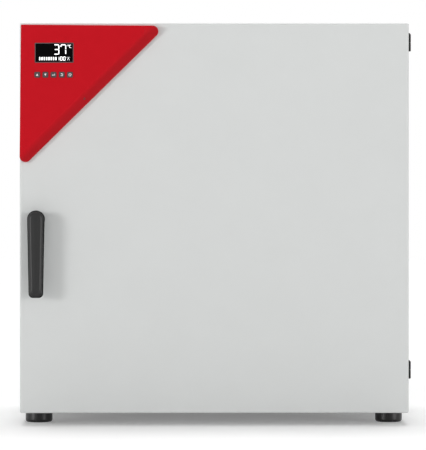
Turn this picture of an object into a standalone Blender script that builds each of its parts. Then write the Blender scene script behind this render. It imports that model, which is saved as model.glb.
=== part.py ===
"""Bench incubator with an outer steel door and an inner glass door, as separate parts.

Metres, +Z up. The door faces -Y. Places are first given in the cabinet's own frame: X from the
middle of the cabinet, Y from the front face of the housing to the back, Z from the surface it
stands on. One empty moves the whole assembly so that the world origin is the bottom centre of its
box.
"""
import math

import bmesh
import bpy
from mathutils import Matrix, Vector

# Cabinet
CABINET_WIDTH = 0.710
CABINET_HEIGHT = 0.735
HOUSING_DEPTH = 0.540
CASING_SHEET = 0.0012
CASING_FRONT_FLANGE = 0.050
CASING_REAR_FLANGE = 0.014
CASING_FOLD_RADIUS = 0.0024
COMPARTMENT_DEPTH = 0.028
PANEL_MARGIN = 0.0005
SEAT_GAP = 0.0003

# Feet
FOOT_HEIGHT = 0.022
FOOT_RADIUS = 0.025
FOOT_SIDE_INSET = 0.030
FOOT_FRONT_INSET = 0.040
FOOT_REAR_INSET = 0.045
FOOT_CHAMFER = 0.004
FOOT_SCREW_RADIUS = 0.007
FOOT_SCREW_DEPTH = 0.012

# Outer door
DOOR_THICKNESS = 0.060
DOOR_GAP = 0.005
DOOR_REVEAL = 0.0005
DOOR_SHEET = 0.0012
DOOR_EDGE_RADIUS = 0.0035
DOOR_CORNER_RADIUS = 0.003
DOOR_RETURN = 0.052
LINER_MARGIN = 0.038
LINER_SHEET = 0.0010
LINER_DISH_BORDER = 0.095
LINER_DISH_DEPTH = 0.008
LINER_DISH_SLOPE = 0.012
DOOR_SEAL_WIDTH = 0.016

# Chamber
SIDE_WALL = 0.100
END_WALL = 0.0915
REAR_INSULATION = 0.035
CHAMBER_SHEET = 0.0010
FRAME_STEP = 0.026
FRAME_RECESS_DEPTH = 0.013
PLENUM_DEPTH = 0.036
RAIL_COUNT = 7
RAIL_END_INSET = 0.070
RAIL_DEPTH = 0.008
RAIL_THICKNESS = 0.007
RAIL_ROOT = 0.003
WALL_HOLE_RADIUS = 0.004
WALL_HOLE_COLUMNS = 6
WALL_HOLE_BORDER = 0.060

# Glass door
GLASS_THICKNESS = 0.005
GLASS_SIDE_PLAY = 0.004
GLASS_END_PLAY = 0.008
GLASS_SEAL_WIDTH = 0.003
GLASS_SEAL_INSET = 0.001
GLASS_SEAL_HEIGHT = 0.0024
CLAMP_WALL = 0.0025
CLAMP_LENGTH = 0.023
CLAMP_GRIP = 0.0125
PIVOT_INSET = 0.004
PIVOT_RADIUS = 0.002
PIVOT_LENGTH = 0.0046
PIVOT_CLEARANCE = 0.00035
GLASS_KNOB_RADIUS = 0.011
GLASS_KNOB_HEIGHT = 0.0076
GLASS_KNOB_STEM = 0.004
GLASS_KNOB_INSET = 0.036
GLASS_NUT_RADIUS = 0.008
GLASS_NUT_HEIGHT = 0.004

# Shelves
SHELF_RAILS = (1, 4)
SHELF_SIDE_PLAY = 0.002
SHELF_FRONT_INSET = 0.020
SHELF_REAR_INSET = 0.010
SHELF_FRAME_RADIUS = 0.003
SHELF_WIRE_RADIUS = 0.0015
SHELF_WIRE_PITCH = 0.030
SHELF_CROSS_BARS = 2

# Fan, heater and probe
FAN_RADIUS = 0.075
FAN_HUB_RADIUS = 0.012
FAN_BLADE_COUNT = 24
FAN_BLADE_INNER = 0.050
FAN_BLADE_WIDTH = 0.020
FAN_BLADE_THICKNESS = 0.0012
FAN_BLADE_LEAN = 25.0
FAN_DISC = 0.0015
FAN_CLEARANCE = 0.004
SHAFT_RADIUS = 0.004
SHAFT_CLEARANCE = 0.00035
MOTOR_RADIUS = 0.038
MOTOR_LENGTH = 0.048
MOTOR_BOSS_RADIUS = 0.014
MOTOR_BOSS_HEIGHT = 0.004
BRACKET_WIDTH = 0.110
BRACKET_SHEET = 0.002
HEATER_RADIUS = 0.095
HEATER_TUBE_RADIUS = 0.004
HEATER_LEG_ANGLE = 8.0
HEATER_LEG_LENGTH = 0.030
GRILLE_RINGS = ((0.018, 6), (0.034, 12), (0.050, 18), (0.066, 24))
GRILLE_HOLE_RADIUS = 0.0055
PROBE_RADIUS = 0.0025
PROBE_LENGTH = 0.060
PROBE_COLLAR_RADIUS = 0.007
PROBE_SIDE_INSET = 0.105
PROBE_TOP_INSET = 0.050

# Hinges of the outer door
HINGE_HEIGHT = 0.0325
HINGE_END_INSET = 0.0325
HINGE_KNUCKLE_RADIUS = 0.004
HINGE_PIN_RADIUS = 0.002
HINGE_PIN_CLEARANCE = 0.00035
HINGE_HEAD_RADIUS = 0.0033
HINGE_HEAD_HEIGHT = 0.0012
HINGE_LEAF_WIDTH = 0.030
HINGE_LEAF_THICKNESS = 0.0019
HINGE_KNUCKLE_GAP = 0.0004

# Handle and latch
HANDLE_PROUD = 0.038
HANDLE_EDGE_DISTANCE = 0.0306
HANDLE_DROP = 0.0022
HANDLE_WIDTH = 0.032
HANDLE_TIP_WIDTH = 0.026
HANDLE_LENGTH = 0.1587
HANDLE_TIP_RADIUS = 0.008
HANDLE_GRIP_DEPTH = 0.018
HANDLE_CROWN_WIDTH = 0.009
HANDLE_CROWN_DEPTH = 0.009
HANDLE_NECK_RADIUS = 0.0135
SPINDLE_WIDTH = 0.008
SPINDLE_SOCKET = 0.020
BUSH_RADIUS = 0.009
BUSH_BORE = 0.0064
BUSH_FLANGE_RADIUS = 0.0155
BUSH_FLANGE = 0.003
CAM_THICKNESS = 0.0026
CAM_HEAD_RADIUS = 0.0092
CAM_REACH = 0.022
CAM_TIP_WIDTH = 0.014
CAM_TIP_RADIUS = 0.005
KEEPER_WIDTH = 0.026
KEEPER_HEIGHT = 0.018

# Control panel
PANEL_LEG = 0.2643
PANEL_LEFT_INSET = 0.0026
PANEL_TOP_INSET = 0.0037
PANEL_TURN = 0.50
PANEL_TIP_RADIUS = 0.010
PANEL_CORNER_RADIUS = 0.002
PANEL_THIN = 0.0105
PANEL_PROUD = 0.018
PANEL_WALL = 0.0025
PANEL_ROLL_WIDTH = 0.011
PANEL_ROLL_DEPTH = 0.010
PANEL_EDGE_ROUND = 0.0015
DISPLAY_LEFT = 0.028
DISPLAY_DROP = 0.037
DISPLAY_WIDTH = 0.0705
DISPLAY_HEIGHT = 0.0362
DISPLAY_THICKNESS = 0.004
KEY_NAMES = ("key_up", "key_down", "key_enter", "key_back", "key_power")
KEY_LEFT = 0.0325
KEY_DROP = 0.0952
KEY_PITCH = 0.0149
KEY_WIDTH = 0.0102
KEY_CORNER = 0.0022
KEY_PROUD = 0.0009
KEY_TRAVEL = 0.0008
KEY_LIP = 0.0010
PRINT_BOARD_DEPTH = 0.0070
PRINT_BOARD_SHEET = 0.0016
PRINT_BOARD_BORDER = 0.010
BOSS_RADIUS = 0.003

# Rear compartment
VENT_COUNT = 9
VENT_LENGTH = 0.120
VENT_WIDTH = 0.004
VENT_PITCH = 0.011
VENT_EDGE_INSET = 0.070
INLET_WIDTH = 0.030
INLET_HEIGHT = 0.022
INLET_DEPTH = 0.021
INLET_WALL = 0.0025
INLET_LIP = 0.003
INLET_SIDE = 0.255
INLET_RISE = 0.075
PIN_LENGTH = 0.012
SOCKET_WIDTH = 0.017
SOCKET_HEIGHT = 0.015
SOCKET_DEPTH = 0.018
SOCKET_DISTANCE = 0.050
POWER_BOARD_WIDTH = 0.150
POWER_BOARD_HEIGHT = 0.110
POWER_BOARD_SIDE = 0.170
POWER_BOARD_STAND = 0.005
PART_HEIGHT = 0.013

# Places worked out from the sizes above
HALF_WIDTH = CABINET_WIDTH / 2
BODY_BOTTOM = FOOT_HEIGHT
BODY_TOP = CABINET_HEIGHT
MID_Z = (BODY_BOTTOM + BODY_TOP) / 2
BODY_HALF_HEIGHT = (BODY_TOP - BODY_BOTTOM) / 2
DOOR_BACK = -DOOR_GAP
DOOR_FRONT = DOOR_BACK - DOOR_THICKNESS
DOOR_HALF_HEIGHT = BODY_HALF_HEIGHT - DOOR_REVEAL
DOOR_TOP = MID_Z + DOOR_HALF_HEIGHT
CHAMBER_HALF_WIDTH = HALF_WIDTH - SIDE_WALL
CHAMBER_HALF_HEIGHT = BODY_HALF_HEIGHT - END_WALL
RAIL_PITCH = 2 * (CHAMBER_HALF_HEIGHT - RAIL_END_INSET) / (RAIL_COUNT - 1)
RECESS_HALF_WIDTH = CHAMBER_HALF_WIDTH + FRAME_STEP
RECESS_HALF_HEIGHT = CHAMBER_HALF_HEIGHT + FRAME_STEP
FRAME_HALF_WIDTH = HALF_WIDTH - CASING_FRONT_FLANGE - SEAT_GAP
FRAME_HALF_HEIGHT = BODY_HALF_HEIGHT - CASING_FRONT_FLANGE - SEAT_GAP
CHAMBER_FRONT = FRAME_RECESS_DEPTH + CHAMBER_SHEET + SEAT_GAP
COMPARTMENT_FRONT = HOUSING_DEPTH - COMPARTMENT_DEPTH
TANK_BACK = COMPARTMENT_FRONT - REAR_INSULATION
PLENUM_FRONT = TANK_BACK - PLENUM_DEPTH
CHAMBER_BACK = PLENUM_FRONT - CHAMBER_SHEET - SEAT_GAP
CHAMBER_DEPTH = CHAMBER_BACK - CHAMBER_FRONT
TANK_HALF_WIDTH = RECESS_HALF_WIDTH + CHAMBER_SHEET
TANK_HALF_HEIGHT = RECESS_HALF_HEIGHT + CHAMBER_SHEET
REAR_FLANGE_FRONT = HOUSING_DEPTH - 2 * CASING_SHEET - SEAT_GAP
HINGE_AXIS_X = HALF_WIDTH + HINGE_KNUCKLE_RADIUS + SEAT_GAP
HINGE_AXIS_Y = -DOOR_GAP / 2
GLASS_BACK = FRAME_RECESS_DEPTH - GLASS_SEAL_HEIGHT - 2 * SEAT_GAP
GLASS_FRONT = GLASS_BACK - GLASS_THICKNESS
GLASS_HALF_WIDTH = RECESS_HALF_WIDTH - GLASS_SIDE_PLAY
GLASS_HALF_HEIGHT = RECESS_HALF_HEIGHT - GLASS_END_PLAY
GLASS_AXIS_X = GLASS_HALF_WIDTH - PIVOT_INSET
GLASS_AXIS_Y = (GLASS_FRONT + GLASS_BACK) / 2
HANDLE_X = -HALF_WIDTH + HANDLE_EDGE_DISTANCE
HANDLE_Z = MID_Z - HANDLE_DROP
HANDLE_BACK = DOOR_FRONT - HANDLE_PROUD + HANDLE_GRIP_DEPTH
CAM_BACK = -2 * SEAT_GAP
FRONT_REACH = DOOR_FRONT - max(HANDLE_PROUD, PANEL_PROUD)
RIGHT_REACH = HINGE_AXIS_X + HINGE_KNUCKLE_RADIUS
CABINET_PLACE = (-(RIGHT_REACH - HALF_WIDTH) / 2, -(HOUSING_DEPTH + FRONT_REACH) / 2, 0.0)

# Finishes: colour as sRGB hex, roughness, metallic
FINISHES = {
    "light_grey_paint": ("D4D6D5", 0.45, 0.0),
    "red_moulding": ("BF1A24", 0.35, 0.0),
    "black_moulding": ("303030", 0.50, 0.0),
    "grey_key": ("5F4C4D", 0.50, 0.0),
    "display_glass": ("050505", 0.10, 0.0),
    "rubber": ("1C1C1C", 0.80, 0.0),
    "seal": ("3A3A3C", 0.75, 0.0),
    "stainless": ("B9BBBC", 0.35, 0.9),
    "chromed_wire": ("D0D0D0", 0.15, 1.0),
    "glass": ("DCE8E6", 0.05, 0.0),
    "mineral_wool": ("C8B98C", 0.95, 0.0),
    "circuit_board": ("1F5A3A", 0.60, 0.0),
    "motor_housing": ("8A8C8E", 0.50, 0.6),
}


def linear(channel):
    """Turn one sRGB channel from 0 to 1 into a linear one."""
    if channel <= 0.04045:
        return channel / 12.92
    return ((channel + 0.055) / 1.055) ** 2.4


def finish(node, kind):
    """Make a node's own material from a named finish."""
    hex_colour, roughness, metallic = FINISHES[kind]
    rgb = [linear(int(hex_colour[i : i + 2], 16) / 255) for i in (0, 2, 4)]
    material = bpy.data.materials.new(f"{node}_{kind}")
    material.use_nodes = True
    shader = material.node_tree.nodes["Principled BSDF"]
    shader.inputs["Base Color"].default_value = (*rgb, 1.0)
    shader.inputs["Roughness"].default_value = roughness
    shader.inputs["Metallic"].default_value = metallic
    return material


def remove_all_objects():
    """Empty the scene."""
    for old in list(bpy.data.objects):
        bpy.data.objects.remove(old, do_unlink=True)


def empty(name, parent, place, turn=None):
    """Add an empty that carries a group of pieces."""
    holder = bpy.data.objects.new(name, None)
    bpy.context.collection.objects.link(holder)
    holder.parent = parent
    holder.matrix_basis = Matrix.Translation(place) @ (turn.to_4x4() if turn else Matrix())
    return holder


def add_piece(name, shape, parent, kind, smooth=False):
    """Turn a bmesh, given in the cabinet's frame, into a named object under its parent."""
    mesh = bpy.data.meshes.new(name)
    shape.to_mesh(mesh)
    shape.free()
    piece = bpy.data.objects.new(name, mesh)
    bpy.context.collection.objects.link(piece)
    piece.parent = parent
    mesh.transform(cabinet_to_holder(parent))
    mesh.materials.append(finish(name, kind))
    if smooth:
        mesh.shade_smooth()
        mesh.set_sharp_from_angle(angle=math.radians(35))
    return piece


def cabinet_to_holder(holder):
    """Matrix from the cabinet's frame to the frame of a holder somewhere under it."""
    matrix = Matrix()
    while holder is not None and holder.name != "cabinet":
        matrix = holder.matrix_basis @ matrix
        holder = holder.parent
    return matrix.inverted()


def boolean(piece, tool_shape, operation):
    """Cut a shape out of a piece, or join it on."""
    mesh = bpy.data.meshes.new(f"{piece.name}_tool")
    tool_shape.to_mesh(mesh)
    tool_shape.free()
    mesh.transform(cabinet_to_holder(piece.parent))
    tool = bpy.data.objects.new(f"{piece.name}_{operation.lower()}_{len(piece.modifiers)}", mesh)
    bpy.context.collection.objects.link(tool)
    tool.parent = piece.parent
    tool.hide_render = True
    tool.display_type = "WIRE"
    step = piece.modifiers.new(operation.title(), "BOOLEAN")
    step.operation = operation
    step.solver = "EXACT"
    step.object = tool


def cut(piece, tool_shape):
    """Cut a shape out of a piece."""
    boolean(piece, tool_shape, "DIFFERENCE")


def join(piece, tool_shape):
    """Join an overlapping shape to a piece."""
    boolean(piece, tool_shape, "UNION")


def loft(loops, ring=False, shape=None):
    """Skin a row of loops with equal point counts, capped at both ends or closed to a ring."""
    shape = shape or bmesh.new()
    rows = [[shape.verts.new(point) for point in loop] for loop in loops]
    pairs = list(zip(rows, rows[1:]))
    if ring:
        pairs.append((rows[-1], rows[0]))
    faces = []
    for row, following in pairs:
        for i in range(len(row)):
            j = (i + 1) % len(row)
            faces.append(shape.faces.new((row[i], row[j], following[j], following[i])))
    if not ring:
        faces.append(shape.faces.new(rows[0]))
        faces.append(shape.faces.new(rows[-1]))
    bmesh.ops.recalc_face_normals(shape, faces=faces)
    return shape


def block(low, high, shape=None):
    """A box between two corners."""
    x0, y0, z0 = low
    x1, y1, z1 = high
    loops = [[(x0, y, z0), (x1, y, z0), (x1, y, z1), (x0, y, z1)] for y in (y0, y1)]
    return loft(loops, shape=shape)


def prism(outline, axis, start, end, shape=None):
    """Extrude an outline along an axis: X takes (y, z) points, Y takes (x, z), Z takes (x, y)."""
    place = {
        "X": lambda p, t: (t, p[0], p[1]),
        "Y": lambda p, t: (p[0], t, p[1]),
        "Z": lambda p, t: (p[0], p[1], t),
    }[axis]
    loops = [[place(point, t) for point in outline] for t in (start, end)]
    return loft(loops, shape=shape)


def round_outline(centre, radius, steps, turn=0.0):
    """Points of a circle in a plane."""
    angles = [turn + 2 * math.pi * i / steps for i in range(steps)]
    return [(centre[0] + radius * math.cos(a), centre[1] + radius * math.sin(a)) for a in angles]


def rounded_outline(corners, radii, steps=4):
    """Corners of a polygon, each rounded with its own radius by an arc of a few steps."""
    points = []
    for i, (corner, radius) in enumerate(zip(corners, radii)):
        here = Vector(corner)
        before = (Vector(corners[i - 1]) - here).normalized()
        after = (Vector(corners[(i + 1) % len(corners)]) - here).normalized()
        half_angle = before.angle(after) / 2
        if radius <= 0.0:
            points.append(tuple(here))
            continue
        start = here + before * (radius / math.tan(half_angle))
        middle = here + (before + after).normalized() * (radius / math.sin(half_angle))
        end = here + after * (radius / math.tan(half_angle))
        sweep = (start - middle).angle_signed(end - middle)
        for k in range(steps + 1):
            arm = (start - middle).copy()
            arm.rotate(Matrix.Rotation(-sweep * k / steps, 2))
            points.append(tuple(middle + arm))
    return points


def inset_corners(corners, insets):
    """Move each side of a convex polygon inwards by its own distance; side i follows corner i."""
    middle = sum((Vector(c) for c in corners), Vector((0.0, 0.0))) / len(corners)
    lines = []
    for i, corner in enumerate(corners):
        here = Vector(corner)
        along = (Vector(corners[(i + 1) % len(corners)]) - here).normalized()
        inwards = Vector((-along.y, along.x))
        if inwards.dot(middle - here) < 0:
            inwards.negate()
        lines.append((here + inwards * insets[i], along))
    moved = []
    for i, (point, along) in enumerate(lines):
        other, direction = lines[i - 1]
        across = direction.x * along.y - direction.y * along.x
        offset = point - other
        share = (offset.x * along.y - offset.y * along.x) / across
        moved.append(tuple(other + direction * share))
    return moved


def rectangle_loop(half_width, half_height, radius, y, middle=(0.0, MID_Z), steps=3):
    """A rounded rectangle in a plane across Y."""
    x, z = middle
    corners = [
        (x - half_width, z - half_height),
        (x + half_width, z - half_height),
        (x + half_width, z + half_height),
        (x - half_width, z + half_height),
    ]
    return [(px, y, pz) for px, pz in rounded_outline(corners, [radius] * 4, steps)]


def framed(half_width, half_height, profile, radius, ring=False, middle=(0.0, MID_Z), steps=3):
    """Sweep a profile of (inset, y) points round a rectangle."""
    smallest = 0.0004
    loops = [
        rectangle_loop(
            half_width - inset, half_height - inset, max(radius - inset, smallest), y, middle, steps
        )
        for inset, y in profile
    ]
    return loft(loops, ring=ring)


def quarter(width, depth, steps):
    """Quarter ellipse as (inset, drop) pairs, from the side (0, depth) to the face (width, 0)."""
    angles = [math.pi / 2 * i / steps for i in range(steps + 1)]
    return [(width * (1 - math.cos(a)), depth * (1 - math.sin(a))) for a in angles]


def turned(profile, axis, middle, steps, shape=None):
    """Turn a profile of (radius, height) points about an axis; open ends at radius 0 are poles."""
    place = {
        "Y": lambda r, a, h: (middle[0] + r * math.cos(a), h, middle[1] + r * math.sin(a)),
        "Z": lambda r, a, h: (middle[0] + r * math.cos(a), middle[1] + r * math.sin(a), h),
    }[axis]
    shape = shape or bmesh.new()
    rows = []
    for radius, height in profile:
        if radius == 0.0:
            rows.append([shape.verts.new(place(0.0, 0.0, height))])
            continue
        angles = [2 * math.pi * i / steps for i in range(steps)]
        rows.append([shape.verts.new(place(radius, a, height)) for a in angles])
    pairs = list(zip(rows, rows[1:]))
    if profile[0][0] > 0.0:
        pairs.append((rows[-1], rows[0]))
    faces = []
    for row, following in pairs:
        for i in range(steps):
            j = (i + 1) % steps
            corners = [row[i % len(row)], row[j % len(row)]]
            corners += [following[j % len(following)], following[i % len(following)]]
            faces.append(shape.faces.new(list(dict.fromkeys(corners))))
    bmesh.ops.recalc_face_normals(shape, faces=faces)
    return shape


def rod(start, end, radius, steps, shape=None):
    """A straight round bar between two points."""
    start = Vector(start)
    along = Vector(end) - start
    frame = along.to_track_quat("Z", "Y").to_matrix()
    circle = round_outline((0.0, 0.0), radius, steps, math.pi / steps)
    loops = [[start + frame @ Vector((x, y, t)) for x, y in circle] for t in (0.0, along.length)]
    return loft(loops, shape=shape)


# Casing


def make_casing(root):
    """Outer sheet-metal panels of the housing."""
    for side, name in ((-1, "casing_left"), (1, "casing_right")):
        edge = side * HALF_WIDTH
        skin = side * (HALF_WIDTH - CASING_SHEET)
        front = side * (HALF_WIDTH - CASING_FRONT_FLANGE)
        rear = side * (HALF_WIDTH - CASING_REAR_FLANGE)
        section = rounded_outline(
            [
                (edge, 0.0),
                (front, 0.0),
                (front, CASING_SHEET),
                (skin, CASING_SHEET),
                (skin, REAR_FLANGE_FRONT),
                (rear, REAR_FLANGE_FRONT),
                (rear, REAR_FLANGE_FRONT + CASING_SHEET),
                (edge, REAR_FLANGE_FRONT + CASING_SHEET),
            ],
            [CASING_FOLD_RADIUS, 0, 0, CASING_FOLD_RADIUS - CASING_SHEET, 0, 0, 0, 0],
            3,
        )
        add_piece(name, prism(section, "Z", BODY_BOTTOM, BODY_TOP), root, "light_grey_paint")
    for side, name in ((1, "casing_top"), (-1, "base_plate")):
        make_end_panel(root, side, name)
    make_rear_panel(root)
    plate = framed(
        HALF_WIDTH - CASING_SHEET - SEAT_GAP,
        BODY_HALF_HEIGHT - CASING_SHEET - SEAT_GAP,
        [(0.0, COMPARTMENT_FRONT), (0.0, COMPARTMENT_FRONT + CHAMBER_SHEET)],
        0.002,
    )
    plate = add_piece("compartment_plate", plate, root, "stainless")
    motor_opening = MOTOR_RADIUS + FAN_CLEARANCE
    cut(
        plate,
        prism(
            round_outline((0.0, MID_Z), motor_opening, 32),
            "Y",
            COMPARTMENT_FRONT - CASING_SHEET,
            COMPARTMENT_FRONT + 2 * CASING_SHEET,
        ),
    )


def make_end_panel(root, side, name):
    """Top panel or base plate: a plate between the sides with a front and a rear flange."""
    edge = MID_Z + side * BODY_HALF_HEIGHT
    skin = edge - side * CASING_SHEET
    front = edge - side * CASING_FRONT_FLANGE
    rear = edge - side * CASING_REAR_FLANGE
    section = rounded_outline(
        [
            (0.0, edge),
            (0.0, front),
            (CASING_SHEET, front),
            (CASING_SHEET, skin),
            (REAR_FLANGE_FRONT, skin),
            (REAR_FLANGE_FRONT, rear),
            (REAR_FLANGE_FRONT + CASING_SHEET, rear),
            (REAR_FLANGE_FRONT + CASING_SHEET, edge),
        ],
        [CASING_FOLD_RADIUS, 0, 0, CASING_FOLD_RADIUS - CASING_SHEET, 0, 0, 0, 0],
        3,
    )
    reach = HALF_WIDTH - CASING_SHEET - SEAT_GAP
    panel = add_piece(name, prism(section, "X", -reach, reach), root, "light_grey_paint")
    notches = bmesh.new()
    spare = CASING_SHEET
    low, high = sorted((edge + side * spare, front - side * spare))
    for flank in (-1, 1):
        inner = flank * (HALF_WIDTH - CASING_FRONT_FLANGE - SEAT_GAP)
        x0, x1 = sorted((inner, flank * (HALF_WIDTH + spare)))
        front_end = CASING_FOLD_RADIUS + SEAT_GAP
        block((x0, -spare, low), (x1, front_end, high), notches)
        inner = flank * (HALF_WIDTH - CASING_REAR_FLANGE - SEAT_GAP)
        x0, x1 = sorted((inner, flank * (HALF_WIDTH + spare)))
        rear_start = REAR_FLANGE_FRONT - SEAT_GAP
        block((x0, rear_start, low), (x1, HOUSING_DEPTH + spare, high), notches)
    cut(panel, notches)


def inlet_place():
    """Middle of the mains inlet on the rear panel."""
    return (INLET_SIDE, BODY_BOTTOM + INLET_RISE)


def socket_place():
    """Middle of the network socket on the rear panel."""
    return (INLET_SIDE - SOCKET_DISTANCE, BODY_BOTTOM + INLET_RISE)


def make_rear_panel(root):
    """Rear panel with vent slots and the openings of the two sockets."""
    panel = framed(
        HALF_WIDTH - PANEL_MARGIN,
        BODY_HALF_HEIGHT - PANEL_MARGIN,
        [(0.0, HOUSING_DEPTH - CASING_SHEET), (0.0, HOUSING_DEPTH)],
        0.003,
    )
    panel = add_piece("rear_panel", panel, root, "light_grey_paint")
    openings = bmesh.new()
    y0, y1 = HOUSING_DEPTH - 2 * CASING_SHEET, HOUSING_DEPTH + CASING_SHEET
    for edge, step in ((BODY_TOP - VENT_EDGE_INSET, -1), (BODY_BOTTOM + VENT_EDGE_INSET, 1)):
        for side in (-1, 0):
            for k in range(VENT_COUNT):
                z = edge + step * k * VENT_PITCH
                x = side * (VENT_LENGTH + 2 * VENT_PITCH) + VENT_PITCH
                slot = rounded_outline(
                    [
                        (x, z - VENT_WIDTH / 2),
                        (x + VENT_LENGTH, z - VENT_WIDTH / 2),
                        (x + VENT_LENGTH, z + VENT_WIDTH / 2),
                        (x, z + VENT_WIDTH / 2),
                    ],
                    [VENT_WIDTH * 0.3] * 4,
                    1,
                )
                prism(slot, "Y", y0, y1, openings)
    x, z = inlet_place()
    block(
        (x - INLET_WIDTH / 2 - SEAT_GAP, y0, z - INLET_HEIGHT / 2 - SEAT_GAP),
        (x + INLET_WIDTH / 2 + SEAT_GAP, y1, z + INLET_HEIGHT / 2 + SEAT_GAP),
        openings,
    )
    x, z = socket_place()
    block(
        (x - SOCKET_WIDTH / 2 - SEAT_GAP, y0, z - SOCKET_HEIGHT / 2 - SEAT_GAP),
        (x + SOCKET_WIDTH / 2 + SEAT_GAP, y1, z + SOCKET_HEIGHT / 2 + SEAT_GAP),
        openings,
    )
    cut(panel, openings)


def make_feet(root):
    """Four round rubber feet with a screw recess."""
    top = BODY_BOTTOM - SEAT_GAP
    profile = [
        (0.0, top),
        (FOOT_RADIUS - SEAT_GAP, top),
        (FOOT_RADIUS, top - FOOT_CHAMFER / 2),
        (FOOT_RADIUS, FOOT_CHAMFER),
        (FOOT_RADIUS - FOOT_CHAMFER * 0.4, FOOT_CHAMFER * 0.3),
        (FOOT_RADIUS - FOOT_CHAMFER, 0.0),
        (FOOT_SCREW_RADIUS, 0.0),
        (FOOT_SCREW_RADIUS, FOOT_SCREW_DEPTH),
        (0.0, FOOT_SCREW_DEPTH),
    ]
    for y, end in ((FOOT_FRONT_INSET, "front"), (HOUSING_DEPTH - FOOT_REAR_INSET, "rear")):
        for side, hand in ((-1, "left"), (1, "right")):
            x = side * (HALF_WIDTH - FOOT_SIDE_INSET)
            shape = turned(profile, "Z", (x, y), 28)
            add_piece(f"foot_{end}_{hand}", shape, root, "rubber", smooth=True)


# Chamber


def make_front_frame(root):
    """Stainless frame round the mouth of the chamber, stepped back for the glass door."""
    flange = FRAME_HALF_WIDTH - RECESS_HALF_WIDTH
    lip = flange + FRAME_STEP
    sheet = CHAMBER_SHEET
    profile = [
        (0.0, 0.0),
        (flange, 0.0),
        (flange, FRAME_RECESS_DEPTH),
        (lip, FRAME_RECESS_DEPTH),
        (lip, FRAME_RECESS_DEPTH + sheet),
        (flange - sheet, FRAME_RECESS_DEPTH + sheet),
        (flange - sheet, sheet),
        (0.0, sheet),
    ]
    shape = bmesh.new()
    extra = (FRAME_HALF_HEIGHT - RECESS_HALF_HEIGHT) - flange
    loops = []
    for inset, y in profile:
        taller = extra if inset < flange / 2 else 0.0
        radius = 0.004 if inset > flange + FRAME_STEP / 2 else 2 * SEAT_GAP
        height = RECESS_HALF_HEIGHT + flange - inset + taller
        loops.append(rectangle_loop(FRAME_HALF_WIDTH - inset, height, radius, y, steps=2))
    loft(loops, ring=True, shape=shape)
    add_piece("chamber_front_frame", shape, root, "stainless")


def make_tank(root):
    """Inner tank: open at the front, behind the chamber walls and round the air ducts."""
    sheet = CHAMBER_SHEET
    profile = [
        (sheet, TANK_BACK - sheet),
        (sheet, CHAMBER_FRONT),
        (0.0, CHAMBER_FRONT),
        (0.0, TANK_BACK),
    ]
    tank = framed(TANK_HALF_WIDTH, TANK_HALF_HEIGHT, profile, 0.003, steps=1)
    tank = add_piece("inner_tank", tank, root, "stainless")
    openings = bmesh.new()
    y0, y1 = TANK_BACK - 3 * sheet, TANK_BACK + 3 * sheet
    hole = SHAFT_RADIUS + 0.004
    prism(round_outline((0.0, MID_Z), hole, 16), "Y", y0, y1, openings)
    for x, z in heater_legs():
        hole = HEATER_TUBE_RADIUS + 2 * SEAT_GAP
        prism(round_outline((x, z), hole, 12), "Y", y0, y1, openings)
    cut(tank, openings)


def rail_height(index):
    """Height of a shelf rail's flat ledge."""
    return MID_Z - CHAMBER_HALF_HEIGHT + RAIL_END_INSET + index * RAIL_PITCH


def make_side_walls(root):
    """Perforated side walls, standing on the tank, with pressed rails that carry the shelves."""
    reach = TANK_HALF_HEIGHT - CHAMBER_SHEET - SEAT_GAP
    bottom, top = MID_Z - reach, MID_Z + reach
    sheet = CHAMBER_SHEET
    for side, name in ((-1, "chamber_left_wall"), (1, "chamber_right_wall")):
        inner = side * CHAMBER_HALF_WIDTH
        crest = side * (CHAMBER_HALF_WIDTH - RAIL_DEPTH)
        back = side * (CHAMBER_HALF_WIDTH + sheet)
        hollow = side * (CHAMBER_HALF_WIDTH - RAIL_DEPTH + sheet)
        face = [(inner, bottom)]
        rear = [(back, bottom)]
        for k in range(RAIL_COUNT):
            ledge = rail_height(k)
            under = ledge - RAIL_THICKNESS
            face += [(inner, under - RAIL_ROOT), (crest, under), (crest, ledge), (inner, ledge)]
            rear += [
                (back, under - RAIL_ROOT + sheet),
                (hollow, under + sheet),
                (hollow, ledge - sheet),
                (back, ledge - sheet),
            ]
        face.append((inner, top))
        rear.append((back, top))
        section = face + rear[::-1]
        shape = prism(section, "Y", CHAMBER_FRONT, CHAMBER_BACK)
        wall = add_piece(name, shape, root, "stainless")
        cut(wall, wall_holes(side))


def wall_holes(side):
    """Air holes of one side wall: a row halfway between each two rails."""
    holes = bmesh.new()
    span = CHAMBER_DEPTH - 2 * WALL_HOLE_BORDER
    circle_steps = 6
    for row in range(RAIL_COUNT - 1):
        z = rail_height(row) + (RAIL_PITCH - RAIL_THICKNESS) / 2
        for column in range(WALL_HOLE_COLUMNS):
            y = CHAMBER_FRONT + WALL_HOLE_BORDER + span * column / (WALL_HOLE_COLUMNS - 1)
            circle = round_outline((y, z), WALL_HOLE_RADIUS, circle_steps)
            x0, x1 = sorted(
                (
                    side * (CHAMBER_HALF_WIDTH - CHAMBER_SHEET),
                    side * (CHAMBER_HALF_WIDTH + 2 * CHAMBER_SHEET),
                )
            )
            prism(circle, "X", x0, x1, holes)
    return holes


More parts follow.
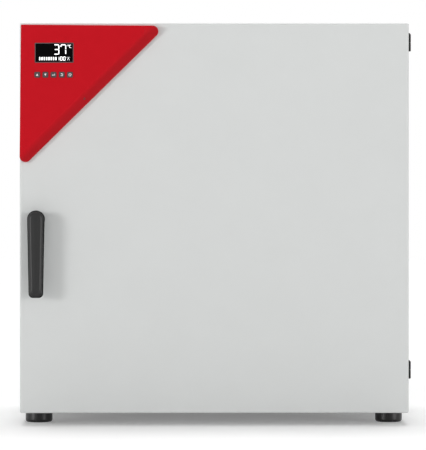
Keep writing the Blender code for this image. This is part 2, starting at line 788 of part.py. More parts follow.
def make_floor_and_ceiling(root):
    """Chamber floor and ceiling: plates whose folded legs stand on the tank."""
    sheet = CHAMBER_SHEET
    reach = CHAMBER_HALF_WIDTH - SEAT_GAP
    for side, name in ((-1, "chamber_floor"), (1, "chamber_ceiling")):
        face = MID_Z + side * CHAMBER_HALF_HEIGHT
        skin = face + side * sheet
        leg = MID_Z + side * (TANK_HALF_HEIGHT - sheet - SEAT_GAP)
        section = [
            (-reach, face),
            (reach, face),
            (reach, leg),
            (reach - sheet, leg),
            (reach - sheet, skin),
            (-reach + sheet, skin),
            (-reach + sheet, leg),
            (-reach, leg),
        ]
        shape = prism(section, "Y", CHAMBER_FRONT, CHAMBER_BACK)
        add_piece(name, shape, root, "stainless")


def make_chamber_rear_wall(root):
    """Rear wall with the fan's intake grille and the probe's hole."""
    half_width = CHAMBER_HALF_WIDTH + 8 * CHAMBER_SHEET
    half_height = TANK_HALF_HEIGHT - CHAMBER_SHEET - SEAT_GAP
    y0 = CHAMBER_BACK + SEAT_GAP
    shape = block((-half_width, y0, MID_Z - half_height), (half_width, PLENUM_FRONT, MID_Z + half_height))
    wall = add_piece("chamber_rear_wall", shape, root, "stainless")
    holes = bmesh.new()
    y1 = PLENUM_FRONT + CHAMBER_SHEET
    y0 -= CHAMBER_SHEET
    for radius, count in GRILLE_RINGS:
        for k in range(count):
            angle = 2 * math.pi * k / count
            middle = (radius * math.cos(angle), MID_Z + radius * math.sin(angle))
            prism(round_outline(middle, GRILLE_HOLE_RADIUS, 6, angle), "Y", y0, y1, holes)
    probe = round_outline(probe_place(), PROBE_RADIUS + SEAT_GAP, 12)
    prism(probe, "Y", y0, y1, holes)
    cut(wall, holes)


def make_insulation(root):
    """Mineral wool between the casing and the tank: a jacket round it and a slab behind it."""
    front = CASING_SHEET + SEAT_GAP
    back = COMPARTMENT_FRONT - SEAT_GAP
    outer_x = HALF_WIDTH - CASING_SHEET - SEAT_GAP
    outer_z = BODY_HALF_HEIGHT - CASING_SHEET - SEAT_GAP
    inner_x = TANK_HALF_WIDTH + SEAT_GAP
    inner_z = TANK_HALF_HEIGHT + SEAT_GAP
    corner = 0.003
    fold = CASING_FOLD_RADIUS
    loops = [
        rectangle_loop(outer_x - fold, outer_z - fold, corner, front, steps=1),
        rectangle_loop(outer_x, outer_z, corner, front + fold, steps=1),
        rectangle_loop(outer_x, outer_z, corner, back, steps=1),
        rectangle_loop(inner_x, inner_z, SEAT_GAP, back, steps=1),
        rectangle_loop(inner_x, inner_z, SEAT_GAP, front, steps=1),
    ]
    add_piece("insulation_jacket", loft(loops, ring=True), root, "mineral_wool")
    slab_front = TANK_BACK + SEAT_GAP
    slab = framed(
        TANK_HALF_WIDTH, TANK_HALF_HEIGHT, [(0.0, slab_front), (0.0, back)], corner, steps=1
    )
    slab = add_piece("insulation_rear", slab, root, "mineral_wool")
    pocket = bmesh.new()
    half = BRACKET_WIDTH / 2 + 2 * SEAT_GAP
    pocket_back = bracket_back() + 2 * SEAT_GAP
    spare = CHAMBER_SHEET
    block((-half, slab_front - spare, MID_Z - half), (half, pocket_back, MID_Z + half), pocket)
    cut(slab, pocket)
    openings = bmesh.new()
    motor = round_outline((0.0, MID_Z), MOTOR_RADIUS + 2 * SEAT_GAP, 32)
    prism(motor, "Y", slab_front - spare, back + spare, openings)
    for x, z in heater_legs():
        leg = round_outline((x, z), HEATER_TUBE_RADIUS + 2 * SEAT_GAP, 12)
        prism(leg, "Y", slab_front - 2 * spare, back + 2 * spare, openings)
    cut(slab, openings)


# Air circulation and heat


def bracket_back():
    """Rear face of the motor bracket."""
    return TANK_BACK + SEAT_GAP + BRACKET_SHEET


def make_motor(root):
    """Fan motor with its front boss, on a square bracket behind the tank."""
    half = BRACKET_WIDTH / 2
    front = TANK_BACK + SEAT_GAP
    plate = framed(half, half, [(0.0, front), (0.0, bracket_back())], 0.006)
    plate = add_piece("motor_bracket", plate, root, "stainless")
    spare = BRACKET_SHEET
    opening = MOTOR_BOSS_RADIUS + SEAT_GAP
    circle = round_outline((0.0, MID_Z), opening, 24)
    cut(plate, prism(circle, "Y", front - spare, bracket_back() + spare))
    start = bracket_back() + SEAT_GAP
    end = start + MOTOR_LENGTH
    bore = SHAFT_RADIUS + SHAFT_CLEARANCE
    boss_front = max(start - MOTOR_BOSS_HEIGHT, front)
    rib = 0.0015
    profile = [
        (bore, boss_front),
        (MOTOR_BOSS_RADIUS, boss_front),
        (MOTOR_BOSS_RADIUS, start),
        (MOTOR_RADIUS - rib, start),
        (MOTOR_RADIUS, start + rib),
        (MOTOR_RADIUS, start + MOTOR_LENGTH * 0.45),
        (MOTOR_RADIUS - rib, start + MOTOR_LENGTH * 0.47),
        (MOTOR_RADIUS - rib, end - MOTOR_LENGTH * 0.47),
        (MOTOR_RADIUS, end - MOTOR_LENGTH * 0.45),
        (MOTOR_RADIUS, end - 2 * rib),
        (MOTOR_RADIUS - 2 * rib, end),
        (bore, end),
    ]
    shape = turned(profile, "Y", (0.0, MID_Z), 32)
    add_piece("fan_motor", shape, root, "motor_housing", smooth=True)


def make_fan(fan):
    """Radial fan wheel on its shaft: back disc, hub, leaning blades and front ring."""
    disc_back = TANK_BACK - CHAMBER_SHEET - FAN_CLEARANCE
    disc_front = disc_back - FAN_DISC
    ring_back = disc_front - FAN_BLADE_WIDTH
    ring_front = ring_back - FAN_DISC
    shaft_end = bracket_back() + SEAT_GAP + MOTOR_LENGTH * 0.8
    nose = (ring_front + disc_front) / 2
    profile = [
        (0.0, nose),
        (FAN_HUB_RADIUS * 0.7, nose),
        (FAN_HUB_RADIUS, nose + FAN_HUB_RADIUS * 0.3),
        (FAN_HUB_RADIUS, disc_front),
        (FAN_RADIUS, disc_front),
        (FAN_RADIUS, disc_back),
        (SHAFT_RADIUS, disc_back),
        (SHAFT_RADIUS, shaft_end),
        (0.0, shaft_end),
    ]
    shape = turned(profile, "Y", (0.0, MID_Z), 36)
    wheel = add_piece("fan_wheel", shape, fan, "stainless", smooth=True)
    join(wheel, fan_blades(ring_back, disc_front))
    ring = [
        (FAN_BLADE_INNER, ring_front),
        (FAN_RADIUS, ring_front),
        (FAN_RADIUS, ring_back),
        (FAN_BLADE_INNER, ring_back),
    ]
    join(wheel, turned(ring, "Y", (0.0, MID_Z), 36))


def fan_blades(front, back):
    """Blades as thin curved plates that reach a little into the disc and the ring."""
    blades = bmesh.new()
    sink = FAN_DISC * 0.3
    steps = 3
    outer = FAN_RADIUS * 0.985
    for k in range(FAN_BLADE_COUNT):
        base = 2 * math.pi * k / FAN_BLADE_COUNT
        sides = ([], [])
        for i in range(steps + 1):
            share = i / steps
            radius = FAN_BLADE_INNER * 1.03 + (outer - FAN_BLADE_INNER * 1.03) * share
            angle = base + math.radians(FAN_BLADE_LEAN) * share * share
            half = FAN_BLADE_THICKNESS / 2 / radius
            for line, offset in zip(sides, (-half, half)):
                turn = angle + offset
                line.append((radius * math.cos(turn), MID_Z + radius * math.sin(turn)))
        outline = sides[0] + sides[1][::-1]
        prism(outline, "Y", front - sink, back + sink, blades)
    return blades


def heater_middle():
    """Depth of the ring heater's plane in the plenum."""
    return PLENUM_FRONT + PLENUM_DEPTH / 2


def heater_legs():
    """Places of the heater's two legs."""
    places = []
    for side in (-1, 1):
        angle = math.radians(270 + side * HEATER_LEG_ANGLE)
        places.append((HEATER_RADIUS * math.cos(angle), MID_Z + HEATER_RADIUS * math.sin(angle)))
    return places


def make_heater(root):
    """Ring heater round the fan, with two legs through the rear of the tank."""
    steps, sides = 40, 8
    shape = bmesh.new()
    rows = []
    for i in range(steps):
        angle = 2 * math.pi * i / steps
        row = []
        for j in range(sides):
            turn = 2 * math.pi * j / sides
            radius = HEATER_RADIUS + HEATER_TUBE_RADIUS * math.cos(turn)
            y = heater_middle() + HEATER_TUBE_RADIUS * math.sin(turn)
            row.append((radius * math.cos(angle), y, MID_Z + radius * math.sin(angle)))
        rows.append(row)
    loft(rows, ring=True, shape=shape)
    ring = add_piece("ring_heater", shape, root, "stainless", smooth=True)
    legs = bmesh.new()
    end = TANK_BACK + HEATER_LEG_LENGTH
    for x, z in heater_legs():
        rod((x, heater_middle(), z), (x, end, z), HEATER_TUBE_RADIUS * 0.97, 8, legs)
    join(ring, legs)


def probe_place():
    """Where the temperature probe passes the rear wall."""
    return (CHAMBER_HALF_WIDTH - PROBE_SIDE_INSET, MID_Z + CHAMBER_HALF_HEIGHT - PROBE_TOP_INSET)


def make_probe(root):
    """Temperature probe: a thin rod with a collar on the chamber's rear wall."""
    collar_back = CHAMBER_BACK
    collar_front = collar_back - PROBE_RADIUS
    tip = collar_back - PROBE_LENGTH
    profile = [
        (0.0, tip),
        (PROBE_RADIUS * 0.6, tip),
        (PROBE_RADIUS, tip + PROBE_RADIUS * 0.6),
        (PROBE_RADIUS, collar_front),
        (PROBE_COLLAR_RADIUS, collar_front),
        (PROBE_COLLAR_RADIUS, collar_back),
        (PROBE_RADIUS, collar_back),
        (PROBE_RADIUS, TANK_BACK - CHAMBER_SHEET - SEAT_GAP),
        (0.0, TANK_BACK - CHAMBER_SHEET - SEAT_GAP),
    ]
    shape = turned(profile, "Y", probe_place(), 12)
    add_piece("temperature_probe", shape, root, "stainless", smooth=True)


# Rear compartment


def make_power_board(root):
    """Power board with its larger components, on spacers that stand on the compartment plate."""
    wall = COMPARTMENT_FRONT + CHAMBER_SHEET + SEAT_GAP
    y0 = wall + POWER_BOARD_STAND
    y1 = y0 + PRINT_BOARD_SHEET
    x, z = POWER_BOARD_SIDE, MID_Z
    half_width, half_height = POWER_BOARD_WIDTH / 2, POWER_BOARD_HEIGHT / 2
    board = block((x - half_width, y0, z - half_height), (x + half_width, y1, z + half_height))
    board = add_piece("power_board", board, root, "circuit_board")
    spacers = bmesh.new()
    sink = PRINT_BOARD_SHEET / 2
    for side in (-1, 1):
        for end in (-1, 1):
            place = (x + side * half_width * 0.88, z + end * half_height * 0.84)
            prism(round_outline(place, BOSS_RADIUS, 10), "Y", wall, y0 + sink, spacers)
    join(board, spacers)
    parts = bmesh.new()
    top = y1 + PART_HEIGHT
    for left, low, width, height, share in (
        (-0.85, -0.80, 0.70, 0.80, 1.0),
        (-0.05, -0.75, 0.35, 0.55, 0.85),
        (0.45, -0.75, 0.40, 0.35, 0.6),
        (-0.80, 0.20, 0.45, 0.55, 0.7),
        (0.05, 0.10, 0.60, 0.45, 0.45),
    ):
        x0, z0 = x + left * half_width, z + low * half_height
        x1, z1 = x0 + width * half_width, z0 + height * half_height
        block((x0, y1 - sink, z0), (x1, y1 + (top - y1) * share, z1), parts)
    join(board, parts)


def make_mains_inlet(root):
    """Mains inlet: a body behind a cutout, its cavity open to the back and three pins inside."""
    x, z = inlet_place()
    half_width, half_height = INLET_WIDTH / 2, INLET_HEIGHT / 2
    back = HOUSING_DEPTH
    front = back - INLET_DEPTH
    lip_back = back - CASING_SHEET - SEAT_GAP
    lip_front = lip_back - 0.002
    profile = [
        (0.0, front),
        (0.0, lip_front),
        (-INLET_LIP, lip_front),
        (-INLET_LIP, lip_back),
        (0.0, lip_back),
        (0.0, back),
        (INLET_WALL, back),
        (INLET_WALL, front + INLET_WALL),
    ]
    body = framed(half_width, half_height, profile, 0.003, middle=(x, z), steps=2)
    body = add_piece("mains_inlet", body, root, "black_moulding")
    pins = bmesh.new()
    floor = front + INLET_WALL / 2
    tip = front + INLET_WALL + PIN_LENGTH
    for dx, dz in ((-0.007, -0.002), (0.0, 0.002), (0.007, -0.002)):
        block((x + dx - 0.001, floor, z + dz - 0.002), (x + dx + 0.001, tip, z + dz + 0.002), pins)
    join(body, pins)


def make_network_socket(root):
    """Network socket: a box with a plug opening and the notch of its catch."""
    x, z = socket_place()
    back = HOUSING_DEPTH
    front = back - SOCKET_DEPTH
    half_width, half_height = SOCKET_WIDTH / 2, SOCKET_HEIGHT / 2
    body = block((x - half_width, front, z - half_height), (x + half_width, back, z + half_height))
    body = add_piece("network_socket", body, root, "black_moulding")
    wall = INLET_WALL * 0.8
    spare = CASING_SHEET
    opening = [
        (x - half_width + wall, z - half_height + 2 * wall),
        (x - half_width / 3, z - half_height + 2 * wall),
        (x - half_width / 3, z - half_height + wall),
        (x + half_width / 3, z - half_height + wall),
        (x + half_width / 3, z - half_height + 2 * wall),
        (x + half_width - wall, z - half_height + 2 * wall),
        (x + half_width - wall, z + half_height - wall),
        (x - half_width + wall, z + half_height - wall),
    ]
    cut(body, prism(opening, "Y", front + INLET_WALL, back + spare))


# Outer door


def make_door_shell(door):
    """Door pan, insulation, liner and seal."""
    edge = [
        (inset, DOOR_FRONT + drop)
        for inset, drop in quarter(DOOR_EDGE_RADIUS, DOOR_EDGE_RADIUS, 4)
    ]
    inner_radius = DOOR_EDGE_RADIUS - DOOR_SHEET
    inner_edge = [
        (DOOR_SHEET + inset, DOOR_FRONT + DOOR_SHEET + drop)
        for inset, drop in quarter(inner_radius, inner_radius, 2)
    ]
    profile = [
        *edge[::-1],
        (0.0, DOOR_BACK),
        (DOOR_RETURN, DOOR_BACK),
        (DOOR_RETURN, DOOR_BACK - DOOR_SHEET),
        (DOOR_SHEET, DOOR_BACK - DOOR_SHEET),
        *inner_edge,
    ]
    pan = framed(HALF_WIDTH, DOOR_HALF_HEIGHT, profile, DOOR_CORNER_RADIUS, steps=3)
    pan = add_piece("door_outer_pan", pan, door, "light_grey_paint", smooth=True)
    hole = round_outline((HANDLE_X, HANDLE_Z), BUSH_RADIUS + SEAT_GAP, 20)
    spare = DOOR_SHEET
    cut(pan, prism(hole, "Y", DOOR_FRONT - spare, DOOR_BACK + spare))

    clearance = DOOR_SHEET + SEAT_GAP
    dish = LINER_DISH_BORDER + LINER_DISH_SLOPE
    dish_back = liner_front() - LINER_DISH_DEPTH - SEAT_GAP
    foam = framed(
        HALF_WIDTH,
        DOOR_HALF_HEIGHT,
        [
            (clearance + inner_radius, DOOR_FRONT + clearance),
            (clearance, DOOR_FRONT + clearance + inner_radius),
            (clearance, DOOR_BACK - clearance),
            (LINER_DISH_BORDER, DOOR_BACK - clearance),
            (dish, dish_back),
        ],
        DOOR_CORNER_RADIUS,
        steps=1,
    )
    foam = add_piece("door_insulation", foam, door, "mineral_wool")
    hole = round_outline((HANDLE_X, HANDLE_Z), BUSH_RADIUS + 2 * SEAT_GAP, 20)
    cut(foam, prism(hole, "Y", DOOR_FRONT - spare, DOOR_BACK + spare))
    make_liner(door)


def liner_front():
    """Face of the door liner that lies on the pan's return flange."""
    return DOOR_BACK + SEAT_GAP


def make_liner(door):
    """Dished stainless liner on the inside of the door, and its seal."""
    back = liner_front() + LINER_SHEET
    border, dish = LINER_DISH_BORDER, LINER_DISH_BORDER + LINER_DISH_SLOPE
    slope = LINER_SHEET * 0.6
    half_width, half_height = HALF_WIDTH, DOOR_HALF_HEIGHT
    profile = [
        (dish, liner_front() - LINER_DISH_DEPTH),
        (border, liner_front()),
        (LINER_MARGIN, liner_front()),
        (LINER_MARGIN, back),
        (border + slope, back),
        (dish + slope, back - LINER_DISH_DEPTH),
    ]
    liner = framed(half_width, half_height, profile, 0.020, steps=3)
    add_piece("door_liner", liner, door, "stainless")
    start = back + SEAT_GAP
    end = -SEAT_GAP
    middle_x = (RECESS_HALF_WIDTH + FRAME_HALF_WIDTH) / 2
    middle_z = (RECESS_HALF_HEIGHT + FRAME_HALF_HEIGHT) / 2
    half = DOOR_SEAL_WIDTH / 2
    loops = []
    for offset, y in (
        (half, start),
        (half, start + (end - start) * 0.3),
        (half * 0.7, start + (end - start) * 0.8),
        (half * 0.35, end),
        (-half * 0.35, end),
        (-half * 0.7, start + (end - start) * 0.8),
        (-half, start + (end - start) * 0.3),
        (-half, start),
    ):
        radius = DOOR_SEAL_WIDTH + offset
        loops.append(rectangle_loop(middle_x + offset, middle_z + offset, radius, y, steps=3))
    add_piece("door_seal", loft(loops, ring=True), door, "seal")


def hinge_heights():
    """Lower and upper end of each hinge of the outer door, with its name."""
    low_start = BODY_BOTTOM + HINGE_END_INSET + 0.0275
    high_start = BODY_TOP - HINGE_END_INSET / 2 - HINGE_HEIGHT
    return (("upper", high_start), ("lower", low_start))


def make_hinges(root, door):
    """Two butt hinges at the right edge: housing leaf and pin on the root, door leaf on the door."""
    for name, start in hinge_heights():
        middle = start + HINGE_HEIGHT / 2
        end = start + HINGE_HEIGHT
        knuckle_low = (start, middle - HINGE_KNUCKLE_GAP / 2)
        knuckle_high = (middle + HINGE_KNUCKLE_GAP / 2, end)
        housing_plate = (-SEAT_GAP - HINGE_LEAF_THICKNESS, -SEAT_GAP)
        door_plate = (DOOR_BACK + SEAT_GAP, DOOR_BACK + SEAT_GAP + HINGE_LEAF_THICKNESS)
        for owner, kind, plate, knuckle in (
            (root, "housing", housing_plate, knuckle_low),
            (door, "door", door_plate, knuckle_high),
        ):
            shape = prism(
                round_outline((HINGE_AXIS_X, HINGE_AXIS_Y), HINGE_KNUCKLE_RADIUS, 16),
                "Z",
                knuckle[0],
                knuckle[1],
            )
            leaf = add_piece(f"hinge_leaf_{kind}_{name}", shape, owner, "black_moulding", smooth=True)
            x0 = HALF_WIDTH - HINGE_LEAF_WIDTH
            x1 = HINGE_AXIS_X - HINGE_KNUCKLE_RADIUS - HINGE_KNUCKLE_GAP
            x2 = HINGE_AXIS_X - HINGE_PIN_RADIUS
            join(leaf, block((x0, plate[0], start), (x1, plate[1], end)))
            join(leaf, block((x1 - HINGE_KNUCKLE_GAP, plate[0], knuckle[0]), (x2, plate[1], knuckle[1])))
            bore = round_outline(
                (HINGE_AXIS_X, HINGE_AXIS_Y), HINGE_PIN_RADIUS + HINGE_PIN_CLEARANCE, 12
            )
            spare = HINGE_HEAD_HEIGHT
            cut(leaf, prism(bore, "Z", start - spare, end + spare))
        head = end + SEAT_GAP
        profile = [
            (0.0, start),
            (HINGE_PIN_RADIUS, start),
            (HINGE_PIN_RADIUS, head),
            (HINGE_HEAD_RADIUS, head),
            (HINGE_HEAD_RADIUS * 0.8, head + HINGE_HEAD_HEIGHT),
            (0.0, head + HINGE_HEAD_HEIGHT),
        ]
        shape = turned(profile, "Z", (HINGE_AXIS_X, HINGE_AXIS_Y), 12)
        add_piece(f"hinge_pin_{name}", shape, root, "black_moulding", smooth=True)


# Handle and latch


def handle_outline(inset):
    """Front outline of the lever: a round hub above, tapering to a rounded tip."""
    half, tip = HANDLE_WIDTH / 2, HANDLE_TIP_WIDTH / 2
    top = HANDLE_Z + half
    bottom = top - HANDLE_LENGTH
    corners = [
        (HANDLE_X - tip, bottom),
        (HANDLE_X + tip, bottom),
        (HANDLE_X + half, top),
        (HANDLE_X - half, top),
    ]
    corners = inset_corners(corners, [inset] * 4)
    tip_radius = max(HANDLE_TIP_RADIUS - inset * 0.6, 0.002)
    hub_radius = (half - inset) * 0.97
    return rounded_outline(corners, [tip_radius, tip_radius, hub_radius, hub_radius], 6)


def make_handle(handle, door, root):
    """Lever, square spindle, bush, latch cam and keeper."""
    front = DOOR_FRONT - HANDLE_PROUD
    crown = quarter(HANDLE_CROWN_WIDTH, HANDLE_CROWN_DEPTH, 4)
    edge = 0.0025
    layers = [(inset, front + drop) for inset, drop in crown[::-1]]
    layers += [(0.0, HANDLE_BACK - edge), (edge * 0.3, HANDLE_BACK - edge * 0.3), (edge, HANDLE_BACK)]
    loops = [[(x, y, z) for x, z in handle_outline(inset)] for inset, y in layers]
    lever = add_piece("handle_lever", loft(loops), handle, "black_moulding", smooth=True)
    neck_end = DOOR_FRONT - BUSH_FLANGE - 2 * SEAT_GAP
    neck = round_outline((HANDLE_X, HANDLE_Z), HANDLE_NECK_RADIUS, 24)
    join(lever, prism(neck, "Y", HANDLE_BACK - edge * 2, neck_end))
    half = SPINDLE_WIDTH / 2
    socket_end = neck_end - SPINDLE_SOCKET
    cut(
        lever,
        block(
            (HANDLE_X - half - SEAT_GAP, socket_end, HANDLE_Z - half - SEAT_GAP),
            (HANDLE_X + half + SEAT_GAP, neck_end + edge, HANDLE_Z + half + SEAT_GAP),
        ),
    )
    spindle_end = CAM_BACK
    spindle = block(
        (HANDLE_X - half, socket_end + SEAT_GAP, HANDLE_Z - half),
        (HANDLE_X + half, spindle_end, HANDLE_Z + half),
    )
    add_piece("handle_spindle", spindle, handle, "stainless")

    flange_front = DOOR_FRONT - SEAT_GAP - BUSH_FLANGE
    profile = [
        (BUSH_BORE, flange_front),
        (BUSH_FLANGE_RADIUS * 0.93, flange_front),
        (BUSH_FLANGE_RADIUS, flange_front + BUSH_FLANGE * 0.4),
        (BUSH_FLANGE_RADIUS, DOOR_FRONT - SEAT_GAP),
        (BUSH_RADIUS, DOOR_FRONT - SEAT_GAP),
        (BUSH_RADIUS, DOOR_BACK),
        (BUSH_BORE, DOOR_BACK),
    ]
    bush = turned(profile, "Y", (HANDLE_X, HANDLE_Z), 24)
    add_piece("handle_bush", bush, door, "black_moulding", smooth=True)

    head, tip = CAM_HEAD_RADIUS, CAM_TIP_WIDTH / 2
    corners = [
        (HANDLE_X - tip, HANDLE_Z - CAM_REACH),
        (HANDLE_X + tip, HANDLE_Z - CAM_REACH),
        (HANDLE_X + head, HANDLE_Z + head),
        (HANDLE_X - head, HANDLE_Z + head),
    ]
    head_round = head - 3 * SEAT_GAP
    outline = rounded_outline(corners, [CAM_TIP_RADIUS] * 2 + [head_round] * 2, 5)
    cam = prism(outline, "Y", CAM_BACK - CAM_THICKNESS, CAM_BACK)
    cam = add_piece("latch_cam", cam, handle, "stainless")
    cut(
        cam,
        block(
            (HANDLE_X - half - SEAT_GAP, CAM_BACK - 2 * CAM_THICKNESS, HANDLE_Z - half - SEAT_GAP),
            (HANDLE_X + half + SEAT_GAP, CAM_BACK + CAM_THICKNESS, HANDLE_Z + half + SEAT_GAP),
        ),
    )
    top = HANDLE_Z - CAM_REACH - 2 * SEAT_GAP
    base = -SEAT_GAP
    nose = base - CAM_THICKNESS * 1.3
    ramp = 0.35
    section = [
        (base, top),
        (nose, top),
        (nose, top - KEEPER_HEIGHT * ramp),
        (base - CAM_THICKNESS / 2, top - KEEPER_HEIGHT * 2 * ramp),
        (base - CAM_THICKNESS / 2, top - KEEPER_HEIGHT),
        (base, top - KEEPER_HEIGHT),
    ]
    half_keeper = KEEPER_WIDTH / 2
    keeper = prism(section, "X", HANDLE_X - half_keeper, HANDLE_X + half_keeper)
    add_piece("latch_keeper", keeper, root, "stainless")


# Control panel


def panel_corners():
    """Panel corners seen from the front: upper left, lower left, upper right."""
    left = -HALF_WIDTH + PANEL_LEFT_INSET
    top = DOOR_TOP - PANEL_TOP_INSET
    near = PANEL_LEG * math.sin(math.radians(PANEL_TURN))
    far = PANEL_LEG * math.cos(math.radians(PANEL_TURN))
    return [(left, top), (left - near, top - far), (left + far, top - near)]


def panel_slope():
    """Rise of the panel's face per metre along X, and its drop per metre along Z."""
    to_edge = PANEL_LEG / math.sqrt(2) - PANEL_ROLL_WIDTH
    return (PANEL_PROUD - PANEL_THIN) / to_edge / math.sqrt(2)


def panel_face(x, z):
    """Depth of the panel's sloping face at a place."""
    rise = panel_slope() * ((x + HALF_WIDTH) + (DOOR_TOP - z))
    return DOOR_FRONT - PANEL_THIN - rise


def panel_loop(insets, radius, drop, wall):
    """One loop of the panel: its outline moved in, on the sloping face or a step behind it."""
    corners = inset_corners(panel_corners(), insets)
    radii = [max(PANEL_CORNER_RADIUS - insets[0], 0.0005)] + [radius] * 2
    steps = 6
    loop = []
    for index, (x, z) in enumerate(rounded_outline(corners, radii, steps)):
        corner, share = divmod(index, steps + 1)
        share /= steps
        before, after = drop[corner - 1], drop[corner]
        sunk = before + (after - before) * share
        loop.append((x, min(panel_face(x, z) + sunk + wall, DOOR_FRONT - SEAT_GAP), z))
    return loop


def panel_base_loop(inset, y):
    """The panel's outline where it lies on the door."""
    corners = inset_corners(panel_corners(), [inset] * 3)
    radii = [max(PANEL_CORNER_RADIUS - inset, 0.0005)] + [PANEL_TIP_RADIUS - inset] * 2
    return [(x, y, z) for x, z in rounded_outline(corners, radii, 6)]


def panel_turn():
    """Rotation from the cabinet's frame to the panel face: X along it, Y into it, Z up it."""
    slope = panel_slope()
    along = Vector((1.0, -slope, 0.0)).normalized()
    inwards = Vector((slope, 1.0, -slope)).normalized()
    up = along.cross(inwards)
    return Matrix((along, inwards, up)).transposed()


def panel_frame(x, z):
    """Matrix that puts a shape made round the origin onto the panel's face."""
    return Matrix.Translation((x, panel_face(x, z), z)) @ panel_turn().to_4x4()


def placed(shape, matrix):
    """Move a shape."""
    bmesh.ops.transform(shape, matrix=matrix, verts=shape.verts)
    return shape


def display_middle():
    """Middle of the display on the panel."""
    x = -HALF_WIDTH + DISPLAY_LEFT + DISPLAY_WIDTH / 2
    return (x, DOOR_TOP - DISPLAY_DROP - DISPLAY_HEIGHT / 2)


def key_places():
    """Middles of the keys on the panel, from left to right."""
    z = DOOR_TOP - KEY_DROP
    return [(-HALF_WIDTH + KEY_LEFT + k * KEY_PITCH, z) for k in range(len(KEY_NAMES))]


def flat_pad(width, height, radius, near, far):
    """A rounded rectangular pad across Y, round the origin."""
    return framed(width / 2, height / 2, [(0.0, near), (0.0, far)], radius, middle=(0.0, 0.0), steps=2)


def make_panel(door):
    """Wedge-shaped panel cover with its rolled long edge, display window and print board."""
    outer = []
    for (long_in, long_drop), (side_in, side_drop) in zip(
        quarter(PANEL_ROLL_WIDTH, PANEL_ROLL_DEPTH, 5), quarter(PANEL_EDGE_ROUND, PANEL_EDGE_ROUND, 5)
    ):
        radius = PANEL_TIP_RADIUS - side_in
        insets = [side_in, long_in, side_in]
        outer.append(panel_loop(insets, radius, [side_drop, long_drop, side_drop], 0.0))
    wall = PANEL_WALL
    inner = []
    for (long_in, long_drop), (side_in, side_drop) in zip(
        quarter(PANEL_ROLL_WIDTH - wall, PANEL_ROLL_DEPTH - wall, 3), quarter(0.0005, 0.0005, 3)
    ):
        radius = PANEL_TIP_RADIUS - wall
        insets = [wall + side_in, wall + long_in, wall + side_in]
        inner.append(panel_loop(insets, radius, [side_drop, long_drop, side_drop], wall))
    base = DOOR_FRONT - SEAT_GAP
    loops = outer[::-1] + [panel_base_loop(0.0, base), panel_base_loop(wall, base)] + inner
    cover = add_piece("panel_cover", loft(loops), door, "red_moulding", smooth=True)
    board_face = PRINT_BOARD_DEPTH
    spare = PANEL_WALL
    bosses = bmesh.new()
    for x, z in boss_places():
        circle = round_outline((0.0, 0.0), BOSS_RADIUS, 10)
        boss = prism(circle, "Y", PANEL_WALL / 2, board_face - SEAT_GAP)
        placed(boss, panel_frame(x, z))
        merge(bosses, boss)
    join(cover, bosses)
    openings = bmesh.new()
    clear = 2 * SEAT_GAP
    window = flat_pad(DISPLAY_WIDTH + clear, DISPLAY_HEIGHT + clear, 0.0012, -spare, 2 * spare)
    merge(openings, placed(window, panel_frame(*display_middle())))
    for place in key_places():
        hole = flat_pad(KEY_WIDTH + clear, KEY_WIDTH + clear, KEY_CORNER + SEAT_GAP, -spare, 2 * spare)
        merge(openings, placed(hole, panel_frame(*place)))
    cut(cover, openings)
    window = flat_pad(DISPLAY_WIDTH, DISPLAY_HEIGHT, 0.001, 0.0002, 0.0002 + DISPLAY_THICKNESS)
    rim = flat_pad(
        DISPLAY_WIDTH + PANEL_WALL * 2,
        DISPLAY_HEIGHT + PANEL_WALL * 2,
        0.001,
        PANEL_WALL + SEAT_GAP,
        board_face - SEAT_GAP,
    )
    frame = panel_frame(*display_middle())
    window = add_piece("display_window", placed(window, frame), door, "display_glass")
    join(window, placed(rim, frame))
    make_print_board(door, board_face)


def boss_places():
    """Where the cover's bosses meet the print board's corners."""
    x0, x1, z0, z1 = board_box()
    inset = BOSS_RADIUS * 1.2
    return [(x, z) for x in (x0 + inset, x1 - inset) for z in (z0 + inset, z1 - inset)]


def board_box():
    """Left, right, lower and upper edge of the print board, seen from the front."""
    x, z = display_middle()
    border = PRINT_BOARD_BORDER
    x0 = x - DISPLAY_WIDTH / 2 - border
    x1 = x + DISPLAY_WIDTH / 2 + border
    z0 = key_places()[0][1] - KEY_WIDTH / 2 - border
    z1 = z + DISPLAY_HEIGHT / 2 + border
    return x0, x1, z0, z1


def make_print_board(door, face):
    """Print board behind the display and the keys."""
    x0, x1, z0, z1 = board_box()
    middle = ((x0 + x1) / 2, (z0 + z1) / 2)
    board = flat_pad(x1 - x0, z1 - z0, 0.002, face, face + PRINT_BOARD_SHEET)
    board = placed(board, panel_frame(*middle))
    add_piece("controller_board", board, door, "circuit_board")


def make_key(name, place, holder):
    """One key: a cap through the cover and a wider lip behind it."""
    lip_front = PANEL_WALL + SEAT_GAP
    cap = flat_pad(KEY_WIDTH, KEY_WIDTH, KEY_CORNER, -KEY_PROUD, lip_front + KEY_LIP)
    frame = panel_frame(*place)
    cap = add_piece(name, placed(cap, frame), holder, "grey_key")
    width = KEY_WIDTH + 2 * KEY_LIP
    lip_back = PRINT_BOARD_DEPTH - KEY_TRAVEL - SEAT_GAP
    join(cap, placed(flat_pad(width, width, KEY_CORNER, lip_front, lip_back), frame))


def merge(target, other):
    """Add a shape's faces to another shape that they don't touch."""
    mesh = bpy.data.meshes.new("part_of_tool")
    other.to_mesh(mesh)
    other.free()
    target.from_mesh(mesh)
    bpy.data.meshes.remove(mesh)


# Glass door


